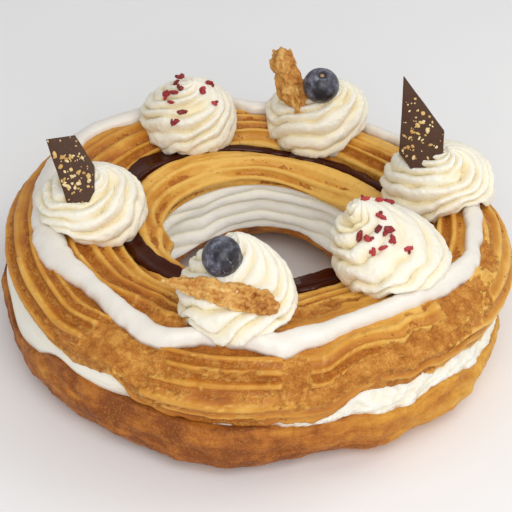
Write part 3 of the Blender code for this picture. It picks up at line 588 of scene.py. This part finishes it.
# A pale lip along each band's edge: partly frayed skin, partly a painted highlight where the plate edges
# catch the light.
lip = finish.maths("SUBTRACT", finish.stretch(patchy, 0.52, 0.60), band)
lip = finish.product(lip, finish.stretch(fine, 0.42, 0.62, 0.1, 0.8))
colour = finish.mix(lip, colour, rgb(236, 184, 94))
colour = finish.mix(torn_here, colour, torn_colour)
edge_share = finish.product(finish.painted("fringe"), finish.stretch(mottle, 0.4, 0.6, 0.2, 0.9))
colour = finish.mix(edge_share, colour, rgb(236, 188, 98))
pores = finish.product(finish.stretch(finish.noise(1.3, 2), 0.62, 0.72, 0, 0.7),
                       finish.stretch(finish.noise(11, 2), 0.5, 0.62))
colour = finish.mix(pores, colour, rgb(124, 64, 20))
finish.set(Base_Color=colour, Roughness=finish.stretch(finish.sum(torn_here, band), 0, 1, 0.42, 0.72),
           Specular_IOR_Level=0.28)
rough = finish.product(finish.maths("MAXIMUM", band, torn_here), fine)
finish.relief((finish.stretch(band, 0, 1, 1, 0), 0.35), (mottle, 0.5),
              (finish.product(drawn, skin_left), 0.12), (rough, 0.4))
lid = rolled("lid", placed(section, angles), True, lay=laid(section, angles, 6) * MM, **paints)
lid = settle("choux_lid_crust", lid, finish.made)
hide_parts("choux_lid")

# --- Icing bands ----------------------------------------------------------------------------------
# A thick band of white fondant icing poured round the outer strand, and a thin glossy one of
# chocolate run into the groove between the strands. Both are soft-edged and lie on the ridges.

WHITE_HALF_WIDTH = [(0, 3.8), (50, 4), (95, 4.5), (140, 5.5), (165, 5), (196, 6.5), (208, 5), (215, 4),
                    (230, 3.8), (262, 3.7), (275, 4.6), (286, 3.8), (320, 3.8), (340, 3.6)]
WHITE_THICKNESS = 2.8
DARK_HALF_WIDTH = [(0, 3), (60, 2.6), (100, 2.6), (138, 5), (160, 4), (210, 3.6), (270, 3), (300, 3.4)]
DARK_THICKNESS = 1.8
ICING_LIFT = 0.5
ICING_SINK = 2.0
ICING_COLUMNS = 720
# Heights of the lid's smooth top, every half degree and every half millimetre out from the axis.
REACH = np.arange(38, 110, 0.5)
TOP = []
for column in lid_skin(np.arange(720) * 0.5, 160).transpose(2, 0, 1):
    upper = column[np.argmax(column[:, 0]):np.argmin(column[:, 0]) + 1]
    TOP.append(np.interp(REACH, np.minimum.accumulate(upper[:, 0])[::-1], upper[::-1, 1]))
TOP = np.array(TOP + TOP[:1])


def top_height(x, y):
    """Height of the lid's smooth top at some points."""
    turn = np.degrees(np.arctan2(y, x)) % 360 * 2
    out = np.clip((np.hypot(x, y) - REACH[0]) / 0.5, 0, len(REACH) - 1.001)
    i, j = turn.astype(int) % 720, out.astype(int)
    u, v = turn - turn.astype(int), out - j
    return ((TOP[i, j] * (1 - v) + TOP[i, j + 1] * v) * (1 - u)
            + (TOP[i + 1, j] * (1 - v) + TOP[i + 1, j + 1] * v) * u)


def icing_band(name, middles, halves, thickness, seed, wobble):
    """A soft-edged band of icing round the lid."""
    angles = np.arange(ICING_COLUMNS) * 360 / ICING_COLUMNS
    rim = circle(85, angles)
    middle = around(middles, angles) + wobble * grain(rim, 14, 3, seed)
    half = around(halves, angles) + wobble * grain(rim, 10, 3, seed + 1)
    over = np.linspace(0, math.pi, 24)[:, None]
    under = np.linspace(-1, 1, 8)[1:-1, None]
    across = np.concatenate([np.cos(over), under])
    rise = np.concatenate([-ICING_SINK + (ICING_SINK + ICING_LIFT + thickness) * np.sin(over) ** 0.58,
                           0 * under - ICING_SINK - 0.4])
    radius = middle + half * across
    turn = np.radians(angles)
    height = top_height(radius * np.cos(turn), radius * np.sin(turn)) + rise
    spots = placed(np.stack([radius, height], axis=1), angles)
    spots[..., 2] += np.where(rise > 0, 0.12 * thickness * grain(spots, 9, 2, seed + 2), 0)
    return rolled(name, spots, True)


finish = Finish("white_icing", 0.3)
drift = finish.noise(12, 3)
colour = finish.mix(drift, rgb(241, 236, 228), rgb(233, 226, 214))
finish.set(Base_Color=colour, Roughness=finish.spread(finish.noise(5, 3), 0.26, 0.38),
           Subsurface_Weight=0.2, Subsurface_Radius=(1.0, 0.9, 0.7), Subsurface_Scale=0.003)
finish.relief((finish.noise(6, 3), 0.25), (finish.noise(1.5, 2), 0.04))
white = icing_band("white", WHITE_RADIUS, WHITE_HALF_WIDTH, WHITE_THICKNESS, 21, 0.8)
white = settle("white_icing_band", white, finish.made)
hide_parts("white_icing")

finish = Finish("dark_icing", 0.16)
drift = finish.noise(8, 3)
colour = finish.mix(drift, rgb(72, 27, 9), rgb(52, 17, 6))
finish.set(Base_Color=colour, Roughness=finish.spread(finish.noise(4, 3), 0.14, 0.24),
           Specular_IOR_Level=0.12, Coat_Weight=0.2, Coat_Roughness=0.08)
finish.relief((finish.noise(5, 3), 0.25), (finish.noise(1.2, 2), 0.03))
dark = icing_band("dark", GROOVE_RADIUS, DARK_HALF_WIDTH, DARK_THICKNESS, 31, 0.5)
dark = settle("chocolate_icing_band", dark, finish.made)
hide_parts("chocolate_icing")

# --- Cream rosettes -------------------------------------------------------------------------------
# Six swirls of whipped cream, each a fluted rope from a star nozzle coiled inwards and drawn up to
# a peak. They sag over the lid and the icing that they stand on.

# Angle, radius, width, height, way the peak leans along X and Y, turn of the lobes.
ROSETTES = [
    (184, 69.5, 46, 22.5, 3, -1, 0),
    (116, 72.5, 42.5, 25, 3, -4, 10),
    (71.5, 76, 45.5, 25.5, 9, -10, 25),
    (13, 76, 48.5, 24, 3, -9, 5),
    (322, 67, 47, 27.5, -14, 6, 15),
    (262.5, 69, 46.5, 29.5, 0, 8, 30),
]
LOBES = 8
LOBE_DEPTH = 3.0
TWIST = 0.8
# How far the last sweep of cream up each rosette smooths its lobes, and the way that sweep faces.
SWEEPS = [(0.5, 20), (0.9, 340), (0.3, 120), (0.5, 20), (0.85, 340), (0.5, 20)]
# Hollows beside the peaks: rosette, angle, share of the way up, half angle, half share, depth.
PEAK_HOLLOWS = [(2, 275, 0.60, 28, 0.08, 2.6), (5, 235, 0.80, 34, 0.07, 2.4), (5, 320, 0.62, 16, 0.12, 1.4),
                (5, 190, 0.66, 40, 0.07, 3.0), (1, 265, 0.60, 26, 0.09, 2.4), (1, 340, 0.74, 24, 0.08, 2.0),
                (4, 300, 0.66, 26, 0.08, 1.8), (3, 300, 0.72, 30, 0.08, 1.6)]
SWIRL_COLUMNS = 224
SWIRL_ROWS = 96
# The swirl's outline: share of its half width, share of its height.
SWIRL_OUTLINE = [(0.86, 0.0), (0.97, 0.09), (1.0, 0.22), (0.94, 0.40), (0.79, 0.57), (0.58, 0.73),
                 (0.35, 0.87), (0.15, 0.955), (0.0, 1.0)]
FOOT_ROWS = 5
DRAPE_HEIGHT = 12.0
SHOULDER = 3.0
CREAM_SINK = 1.4


def rest_height(x, y):
    """Height that a rosette rests at: sunk into the ridges, raised over the icing."""
    angle = np.degrees(np.arctan2(y, x)) % 360
    raised = 0
    for middles, halves, thickness in ((WHITE_RADIUS, WHITE_HALF_WIDTH, WHITE_THICKNESS),
                                       (GROOVE_RADIUS, DARK_HALF_WIDTH, DARK_THICKNESS)):
        beyond = np.abs(np.hypot(x, y) - around(middles, angle)) - around(halves, angle)
        raised = np.maximum(raised, (thickness + ICING_LIFT) * (1 - np.clip(beyond / SHOULDER, 0, 1)))
    return top_height(x, y) - CREAM_SINK + raised


# The rosettes' cream is a duller copy of the filling's, as painted shade, with more painted shade in its
# hollows.
cream = cream_finish("rosette_cream", 0.9, (247, 243, 232), (243, 235, 214))
rosettes = []
share = np.linspace(0, 1, SWIRL_ROWS)[:, None]
turns = np.arange(SWIRL_COLUMNS) * 360 / SWIRL_COLUMNS
for index, (angle, radius, width, height, lean_x, lean_y, start) in enumerate(ROSETTES):
    corners = [(out * width / 2 + 0 * turns, up * height) for out, up in SWIRL_OUTLINE]
    outline = section_through(corners, SWIRL_ROWS)
    spots = placed(outline, turns)
    phase = LOBES * ((turns - start) / 360 - TWIST * share) + 0.7 * grain(spots, 20, 2, 40 + index)
    lobe = np.abs(np.cos(math.pi * phase)) ** 0.6
    smooth, way = SWEEPS[index]
    sweep = np.exp(-((((turns - way + 180) % 360) - 180) / 75) ** 2) * soft_step(share, 0.40, 0.62)
    depth = LOBE_DEPTH * (0.25 + 0.75 * np.minimum(1, 4 * (1 - share))) * (1 - smooth * sweep)
    depth = depth * np.clip(0.95 + 0.7 * grain(spots, 12, 2, 50 + index), 0.4, 1.4)
    hollow = depth * (1 - lobe)
    for rosette, across, up, half_angle, half_share, deep in PEAK_HOLLOWS:
        if rosette == index + 1:
            skew = (((turns - across - 360 * TWIST * (share - up) + 180) % 360) - 180) / half_angle
            hollow = hollow + deep * np.exp(-skew**2 - ((share - up) / half_share) ** 2)
    hollow = hollow - 0.35 * lobe**4 * grain(spots, 2.2, 3, 70 + index) * (1 - 0.8 * sweep)
    outline -= outward(outline) * hollow[:, None, :]
    foot = outline[:1] * np.array([0.0, 1.0])[None, :, None]
    outline = np.concatenate([foot, straight(foot, outline[:1], FOOT_ROWS), outline])
    hollow = np.concatenate([np.zeros((1 + FOOT_ROWS, SWIRL_COLUMNS)), hollow])
    x, y, z = np.moveaxis(placed(outline, turns), -1, 0)
    rise = np.clip(z / height, 0, None) ** 1.5
    x = x + lean_x * rise + radius * math.cos(math.radians(angle))
    y = y + lean_y * rise + radius * math.sin(math.radians(angle))
    rest = rest_height(x, y)
    level = rest + (around(CREST_HEIGHT, [angle])[0] - rest) * np.clip(z / DRAPE_HEIGHT, 0, 1)
    spots = np.stack([x, y, np.maximum(level + z, rest)], axis=-1)
    spots += 0.10 * np.stack([grain(spots, 1.3, 3, 60 + k) for k in range(3)], axis=-1)
    # The depth of each hollow is painted on too, for painted warm shade in the grooves.
    made = settle(f"rosette_{index + 1}", rolled("swirl", spots, False, hollow=hollow / LOBE_DEPTH), cream)
    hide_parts(f"cream_rosette_{index + 1}")
    rosettes.append(made)

# --- Blueberries ----------------------------------------------------------------------------------
# Two fresh blueberries pressed into the cream: dark skins under a grey waxy bloom that is rubbed
# off in places, one with the small five-pointed crown that the flower leaves, one with its stalk scar.

# Centre, width, height, way that one end faces, which end that is, way that the rubbed side faces.
BLUEBERRIES = [((-14.5, -70.0, 87.5), 15.9, 15.0, (1.0, 0.1, -0.35), "crown", (0.75, -0.70, -0.05)),
               ((26.2, 57.5, 84.5), 15.6, 15.0, (0.05, -0.35, 1.0), "stalk", (0.2, -0.3, -0.9))]
STALK_RADIUS = 1.9
CROWN_RADIUS = 2.9
CROWN_DEPTH = 1.5
CROWN_RIM = 0.45

finish = Finish("blueberry_skin", 0.42)
patches = finish.stretch(finish.noise(4.5, 5, 0.62), 0.40, 0.62)
bloom = finish.product(patches, finish.spread(finish.noise(1.2, 3), 0.45, 1.0))
bloom = finish.product(bloom, finish.stretch(finish.painted("rubbed"), 0, 1, 1.0, 0.12))
colour = finish.ramp(bloom, (0.0, (38, 35, 42)), (0.45, (84, 84, 98)), (1.0, (142, 145, 156)))
lines = finish.product(finish.stretch(finish.cell_edges(2.6), 0.0, 0.06, 0.9, 0.0),
                       finish.stretch(finish.noise(3, 2), 0.45, 0.6))
lines = finish.product(lines, finish.painted("rubbed"))
colour = finish.mix(lines, colour, rgb(160, 160, 162))
colour = finish.mix(finish.painted("ring"), colour, rgb(40, 32, 36))
colour = finish.mix(finish.painted("stalk"), colour, rgb(176, 142, 108))
finish.set(Base_Color=colour, Roughness=finish.stretch(bloom, 0, 1, 0.3, 0.6), Specular_IOR_Level=0.4)
finish.relief((finish.noise(2.5, 4), 0.08), (finish.noise(0.5, 2), 0.03))
for index, (centre, width, height, way, end, rubbed_way) in enumerate(BLUEBERRIES):
    bm = bmesh.new()
    bmesh.ops.create_uvsphere(bm, u_segments=60, v_segments=64, radius=1.0)
    ring, stalk, rubbed = (bm.verts.layers.float.new(label) for label in ("ring", "stalk", "rubbed"))
    facing = Vector((0, 0, 1)).rotation_difference(Vector(way)).to_matrix()
    for vert in bm.verts:
        worn = (facing @ vert.co).dot(Vector(rubbed_way).normalized()) + 0.08 * noise.noise(vert.co * 3)
        vert[rubbed] = min(1.0, max(0.0, (worn - 0.60) / 0.05))
        away = math.hypot(vert.co.x, vert.co.y) * width / 2
        lift = 0.0
        if vert.co.z > 0 and end == "crown":
            points_out = 0.5 + 0.5 * math.cos(5 * math.atan2(vert.co.y, vert.co.x))
            edge = CROWN_RADIUS * (0.82 + 0.22 * points_out)
            inside = min(1.0, max(0.0, (edge - away) / 0.9))
            lift = CROWN_RIM * (0.5 + 0.5 * points_out) * math.exp(-((away - edge) / 0.5) ** 2)
            lift -= CROWN_DEPTH * inside * inside * (3 - 2 * inside)
            vert[ring] = min(1.0, max(0.0, 1.6 - away / edge))
        elif vert.co.z > 0:
            lift = 0.7 * math.exp(-(away / 0.75) ** 2) - 0.95 * math.exp(-(away / STALK_RADIUS) ** 4)
            vert[ring] = min(1.0, max(0.0, 2.2 * (1.25 - away / STALK_RADIUS)))
            vert[stalk] = min(1.0, max(0.0, 2.5 * (1.25 - away / 0.8)))
        vert.co.x *= width / 2
        vert.co.y *= width / 2
        vert.co.z = vert.co.z * height / 2 + lift
        vert.co += vert.co.normalized() * 0.12 * noise.noise(vert.co / 4)
    bmesh.ops.transform(bm, matrix=Matrix.Translation(centre) @ facing.to_4x4(), verts=bm.verts)
    made = settle(f"berry_{index + 1}", meshed("berry", bm), finish.made)
    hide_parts(f"blueberry_{index + 1}")

# --- Chocolate shards -----------------------------------------------------------------------------
# Two pieces snapped from a thin sheet of dark chocolate that was strewn with chopped nuts before
# it set. They stand in the cream, leaning back, with the nuts to the front.

SHARD_THICKNESS = 2.2
SHARD_BEVEL = 0.28
NUT_SIZES = (0.3, 0.4, 0.5, 0.65, 0.85, 1.1)
# Outline across and up, foot, lean back in degrees, middles and spreads of the nuts, their number.
SHARDS = [
    ([(0, 0), (10, -5), (12.4, 9), (12.6, 17), (-4.4, 39.9), (-5.6, 7.7)], (62.4, 5.9, 75.0), 17.6,
     [((2, 27), (5, 9)), ((6, 14), (5, 7)), ((-3, 15), (3, 8))], 64),
    ([(-1, -1.5), (6.5, -2.5), (9.8, 4), (9.8, 14), (2.1, 26.3), (-9.3, 24.6)], (-76.0, -17.0, 76.0), 29.0,
     [((4, 6), (5, 6)), ((-3, 14), (4, 8)), ((4, 17), (5, 6))], 80),
]


def slab(outline, thickness, bevel):
    """A slab of an outline with bevelled edges, its middle plane level."""
    bm = bmesh.new()
    face = bm.faces.new([bm.verts.new((across, up, -thickness / 2)) for across, up in outline])
    grown = bmesh.ops.extrude_face_region(bm, geom=[face])["geom"]
    raised = [piece for piece in grown if isinstance(piece, bmesh.types.BMVert)]
    bmesh.ops.translate(bm, vec=(0, 0, thickness), verts=raised)
    bmesh.ops.recalc_face_normals(bm, faces=bm.faces)
    bmesh.ops.bevel(bm, geom=bm.edges[:], offset=bevel, affect="EDGES", segments=3, profile=0.5, material=-1)
    return bm


def standing(foot, turns):
    """Place of a slab: stood up facing the front, turned by its three angles, and set on its foot."""
    tilt, roll, spin = (math.radians(turn) for turn in turns)
    return (Matrix.Translation(foot) @ Matrix.Rotation(spin, 4, "Z") @ Matrix.Rotation(roll, 4, "Y")
            @ Matrix.Rotation(math.pi / 2 + tilt, 4, "X"))


def within(outline, across, up):
    """Whether a point lies inside an outline."""
    crossings = [(y1 > up) != (y2 > up) and across < x1 + (up - y1) / (y2 - y1) * (x2 - x1)
                 for (x1, y1), (x2, y2) in zip(outline, outline[1:] + outline[:1])]
    return sum(crossings) % 2 == 1


chocolate = Finish("dark_chocolate", 0.36)
cloud = chocolate.noise(6, 4, 0.6)
scuff = chocolate.stretch(chocolate.noise(0.8, 3, 0.7), 0.55, 0.75)
colour = chocolate.mix(cloud, rgb(66, 42, 30), rgb(90, 62, 46))
colour = chocolate.mix(chocolate.product(scuff, 0.4), colour, rgb(112, 86, 66))
chocolate.set(Base_Color=colour, Roughness=chocolate.spread(cloud, 0.36, 0.55), Specular_IOR_Level=0.2)
chocolate.relief((chocolate.noise(1.5, 4, 0.65), 0.18), (chocolate.noise(0.4, 2), 0.05))
nuts = Finish("nut_crumbs", 0.6)
colour = nuts.ramp(nuts.painted("tint"), (0.0, (196, 150, 84)), (0.4, (222, 186, 116)),
                   (1.0, (246, 230, 184)))
colour = nuts.mix(nuts.stretch(nuts.noise(0.6, 3), 0.45, 0.7, 0, 0.4), colour, rgb(190, 144, 82))
nuts.set(Base_Color=colour, Specular_IOR_Level=0.3)
nuts.relief((nuts.noise(0.5, 3), 0.15))
rng = random.Random(11)


def crumb(bm, layer, centre, size, turn, stretch):
    """Add one angular crumb to a mesh of them."""
    made = bmesh.ops.create_icosphere(bm, subdivisions=1, radius=1.0)["verts"]
    tint = rng.random()
    for vert in made:
        vert.co *= rng.uniform(0.75, 1.15)
        vert[layer] = tint
    grown = Matrix.Diagonal((*(size * k for k in stretch), 1))
    bmesh.ops.transform(bm, matrix=Matrix.Translation(centre) @ turn @ grown, verts=made)


for index, (outline, foot, lean, heaps, count) in enumerate(SHARDS):
    bm = slab(outline, SHARD_THICKNESS, SHARD_BEVEL)
    bmesh.ops.triangulate(bm, faces=bm.faces)
    bmesh.ops.subdivide_edges(bm, edges=bm.edges, cuts=3, use_grid_fill=True)
    for vert in bm.verts:
        vert.co += Vector((noise.noise(vert.co / 2.5), noise.noise(vert.co / 2.5 + Vector((9, 0, 0))),
                           0.35 * noise.noise(vert.co / 5))) * 0.25
    pose = standing(foot, (-lean, 0, 0))
    bmesh.ops.transform(bm, matrix=pose, verts=bm.verts)
    made = settle(f"shard_{index + 1}", meshed("plate", bm), chocolate.made)
    made.data.set_sharp_from_angle(angle=math.radians(35))
    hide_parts(f"chocolate_shard_{index + 1}")
    bm = bmesh.new()
    tint = bm.verts.layers.float.new("tint")
    while count:
        (across, up), (wide, tall) = rng.choice(heaps)
        across, up = rng.gauss(across, wide), rng.gauss(up, tall)
        size = rng.choice(NUT_SIZES)
        if all(within(outline, across + size * side, up) for side in (-1, 1)):
            spot = Vector((across, up, SHARD_THICKNESS / 2 + 0.15 * size))
            turn = Matrix.Rotation(rng.uniform(0, math.tau), 4, "Z")
            crumb(bm, tint, spot, size, turn, (rng.uniform(0.9, 1.5), rng.uniform(0.7, 1.0), 0.55))
            count -= 1
    bmesh.ops.transform(bm, matrix=pose, verts=bm.verts)
    made = settle(f"nut_crumbs_{index + 1}", meshed("strewn", bm), nuts.made)
    made.data.shade_flat()

# --- Biscuit shards -------------------------------------------------------------------------------
# Two broken pieces of a crisp biscuit, bubbly from baking, golden and browner at one end.
# One lies across the front rosette and one stands in the rosette at the back.

def remeshed(mesh, voxel):
    """A mesh given one even skin."""
    carrier = bpy.data.objects.new("carrier", mesh)
    bpy.context.scene.collection.objects.link(carrier)
    skin = carrier.modifiers.new("skin", "REMESH")
    skin.mode = "VOXEL"
    skin.voxel_size = voxel
    bpy.context.view_layer.update()
    graph = bpy.context.evaluated_depsgraph_get()
    made = bpy.data.meshes.new_from_object(carrier.evaluated_get(graph), depsgraph=graph)
    bpy.data.objects.remove(carrier, do_unlink=True)
    return made


def points_of(mesh, kind="co"):
    """A mesh's corners, or its normals, as an array."""
    flat = np.empty(len(mesh.vertices) * 3)
    mesh.vertices.foreach_get(kind, flat)
    return flat.reshape(-1, 3)


def evened(points, mesh, passes):
    """Points of a mesh after some passes of averaging with their neighbours."""
    ends = np.empty(len(mesh.edges) * 2, np.int32)
    mesh.edges.foreach_get("vertices", ends)
    first, second = ends.reshape(-1, 2).T
    count = np.bincount(ends, minlength=len(points))
    for _ in range(passes):
        near = [np.bincount(first, points[second, k], len(points))
                + np.bincount(second, points[first, k], len(points)) for k in range(3)]
        points = 0.5 * points + 0.5 * np.stack(near, axis=1) / np.maximum(count, 1)[:, None]
    return points


def paint(mesh, label, values):
    """Paint a value on each corner of a mesh."""
    mesh.attributes.new(label, "FLOAT", "POINT").data.foreach_set("value", values)


# Outline along and across the slab, thickness, place, turns of the slab, way that its layers run,
# and between which places along it the browning sets in.
BISCUITS = [
    ([(0, -8), (6, -8), (6.5, 4), (4.5, 22), (0.5, 23), (-3.5, 18), (-3, 8), (-4, 3)], 9.0,
     (13.9, 60.5, 75.7), (-22, -7, 32), (0, 1, 0), (1, 4)),
    ([(-23, 1), (-12, -2.4), (0, -4.2), (14, -5), (22, -3.6), (23, 0.5), (17, 4.4), (6, 5), (-8, 5.2),
      (-17, 3.6)], 4.5, (-15.0, -81.3, 78.4), (-38, 3, -13), (1, 0, 0), (4, 20)),
]
BISCUIT_BEVEL = 0.5
BISCUIT_VOXEL = 0.4
EVENING_PASSES = 8

finish = Finish("toasted_biscuit", 0.62)
toast = finish.sum(finish.spread(finish.noise(5, 4), 0, 0.6), finish.spread(finish.noise(1.1, 3), 0, 0.4))
# Painted shade: the biscuit is browner in its hollows and paler on its bumps.
toast = finish.sum(toast, finish.stretch(finish.painted("hollow"), -0.3, 0.3, -0.12, 0.2))
toast = finish.sum(toast, finish.stretch(finish.painted("browned"), 0, 1, -0.02, 0.22))
colour = finish.ramp(toast, (0.1, (236, 194, 120)), (0.5, (214, 158, 82)), (0.8, (194, 130, 60)),
                     (1.0, (164, 100, 44)))
finish.set(Base_Color=colour, Specular_IOR_Level=0.3)
finish.relief((finish.noise(1.2, 4, 0.65), 0.4), (finish.noise(0.5, 2), 0.12))
for index, (outline, thickness, foot, turns, run, browning) in enumerate(BISCUITS):
    broken = remeshed(meshed("broken", slab(outline, thickness, BISCUIT_BEVEL)), BISCUIT_VOXEL)
    paint(broken, "browned", soft_step(points_of(broken)[:, 0], *browning))
    pose = standing(foot, turns)
    broken.transform(pose)
    broken.update()
    points = points_of(broken)
    pits = np.clip(grain(points, 3.0, 3, 60 + index) - 0.12, 0, None)
    along = np.array(Vector(foot) - pose @ Vector(run))
    strands = points - 0.7 * (points @ along)[:, None] * along
    layers = 1.1 * grain(strands, 2.6, 4, 62 + index) + 0.8 * grain(points, 6, 3, 64 + index)
    points += points_of(broken, "normal") * (layers - 2.2 * pits)[:, None]
    broken.vertices.foreach_set("co", points.ravel())
    broken.update()
    # How far each point lies in a hollow, painted on for the painted shade.
    sunk = evened(points, broken, EVENING_PASSES) - points
    paint(broken, "hollow", (sunk * points_of(broken, "normal")).sum(axis=1))
    made = settle(f"biscuit_{index + 1}", broken, finish.made)
    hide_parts(f"biscuit_shard_{index + 1}")

# --- Freeze-dried raspberry -----------------------------------------------------------------------
# Angular crumbs of freeze-dried raspberry, dry and deep red, scattered over two of the rosettes
# and stuck to the cream.

# Where the bits lie from the middle of each rosette that carries them: across and back.
RASPBERRIES = {
    2: [(-2.6, 7.2), (-4.2, -1), (-2.2, -6.6), (-8.2, -6.4), (-5, -8), (-6.4, -11.6), (-2, -15), (7.1, -8.4),
        (9.7, -1.6), (12, -11), (-4.3, -19)],
    5: [(-12.1, 7.5), (-6.4, 11), (-2.5, 14.4), (-6.3, -0.6), (-7.6, -6.4), (-14.8, -6.6), (-11.6, -9.4),
        (-3.6, -5.2), (-2, -8.8), (-9.4, -12.6), (-5.6, -12), (4, -10.8)],
}

finish = Finish("freeze_dried_raspberry", 0.55)
colour = finish.ramp(finish.painted("tint"), (0.0, (112, 8, 16)), (0.6, (152, 22, 30)),
                     (1.0, (190, 56, 60)))
colour = finish.mix(finish.stretch(finish.noise(0.7, 3), 0.5, 0.72, 0, 0.5), colour, rgb(206, 96, 96))
finish.set(Base_Color=colour)
finish.relief((finish.noise(0.6, 3), 0.25))
for number, offsets in RASPBERRIES.items():
    angle, radius = ROSETTES[number - 1][:2]
    swirl = rosettes[number - 1].data
    surface = BVHTree.FromPolygons([vert.co for vert in swirl.vertices],
                                   [face.vertices for face in swirl.polygons])
    bm = bmesh.new()
    tint = bm.verts.layers.float.new("tint")
    for across, back in offsets:
        x = radius * math.cos(math.radians(angle)) + across + AXIS[0]
        y = radius * math.sin(math.radians(angle)) + back + AXIS[1]
        spot, normal = surface.ray_cast(Vector((x, y, 200)) * MM, Vector((0, 0, -1)))[:2]
        lie = Vector((0, 0, 1)).rotation_difference(normal).to_matrix().to_4x4()
        turn = lie @ Matrix.Rotation(rng.uniform(0, math.tau), 4, "Z")
        centre = spot / MM - Vector(AXIS) + normal * 0.45
        size = rng.uniform(1.6, 2.3)
        crumb(bm, tint, centre, size, turn,
              (rng.uniform(1.0, 1.5), rng.uniform(0.55, 0.8), rng.uniform(0.5, 0.8)))
        if rng.random() < 0.7:
            aside = turn @ Vector((rng.uniform(-1, 1), rng.choice((-1, 1)), 0)) * size * 0.7
            crumb(bm, tint, centre + aside, size * 0.6, turn @ Matrix.Rotation(1.1, 4, "Z"),
                  (rng.uniform(0.9, 1.3), rng.uniform(0.6, 0.9), 0.7))
    made = settle(f"raspberry_bits_{number}", meshed("scattered", bm), finish.made)
    made.data.shade_flat()

# --- Table, lights and camera ---------------------------------------------------------------------
# The ring stands on a plain pale table under two soft studio lights, a broad one in front and a
# smaller one at the upper right, with a camera that looks down on it from the front.

bm = bmesh.new()
bmesh.ops.create_grid(bm, x_segments=1, y_segments=1, size=6.0)
table = meshed("table", bm)
finish = Finish("table", 0.8)
finish.set(Base_Color=finish.mix(finish.noise(60, 2), rgb(247, 247, 247), rgb(243, 243, 244)))
table.materials.append(finish.made)
floor = bpy.data.objects.new("table", table)
bpy.context.scene.collection.objects.link(floor)

scene = bpy.context.scene
scene.view_settings.view_transform = "Standard"
world = bpy.data.worlds.new("studio")
world.use_nodes = True
world.node_tree.nodes["Background"].inputs["Color"].default_value = (1.0, 1.0, 1.0, 1.0)
world.node_tree.nodes["Background"].inputs["Strength"].default_value = 0.5
scene.world = world


def softbox(name, place, size, power, colour):
    """A square area light aimed at the ring."""
    light = bpy.data.lights.new(name, "AREA")
    light.shape = "SQUARE"
    light.size = size
    light.energy = power
    light.color = colour
    lamp = bpy.data.objects.new(name, light)
    lamp.location = place
    lamp.rotation_euler = (Vector((0, 0, 0.05)) - Vector(place)).to_track_quat("-Z", "Y").to_euler()
    scene.collection.objects.link(lamp)


softbox("key_light", (0.55, 0.15, 0.70), 0.45, 1.4, (1.0, 0.99, 0.97))
softbox("fill_light", (0.12, -0.78, 0.72), 0.8, 6.3, (1.0, 1.0, 1.0))

ELEVATION = math.radians(36.5)
DISTANCE = 0.78
LOOK_AT = Vector((0.0009, 0.0016, 0.036))
camera = bpy.data.cameras.new("camera")
camera.lens = 130.5
camera.sensor_width = 36.0
camera.clip_start = 0.01
viewer = bpy.data.objects.new("camera", camera)
viewer.location = LOOK_AT + DISTANCE * Vector((0, -math.cos(ELEVATION), math.sin(ELEVATION)))
viewer.rotation_euler = (math.pi / 2 - ELEVATION, 0, 0)
scene.collection.objects.link(viewer)
scene.camera = viewer
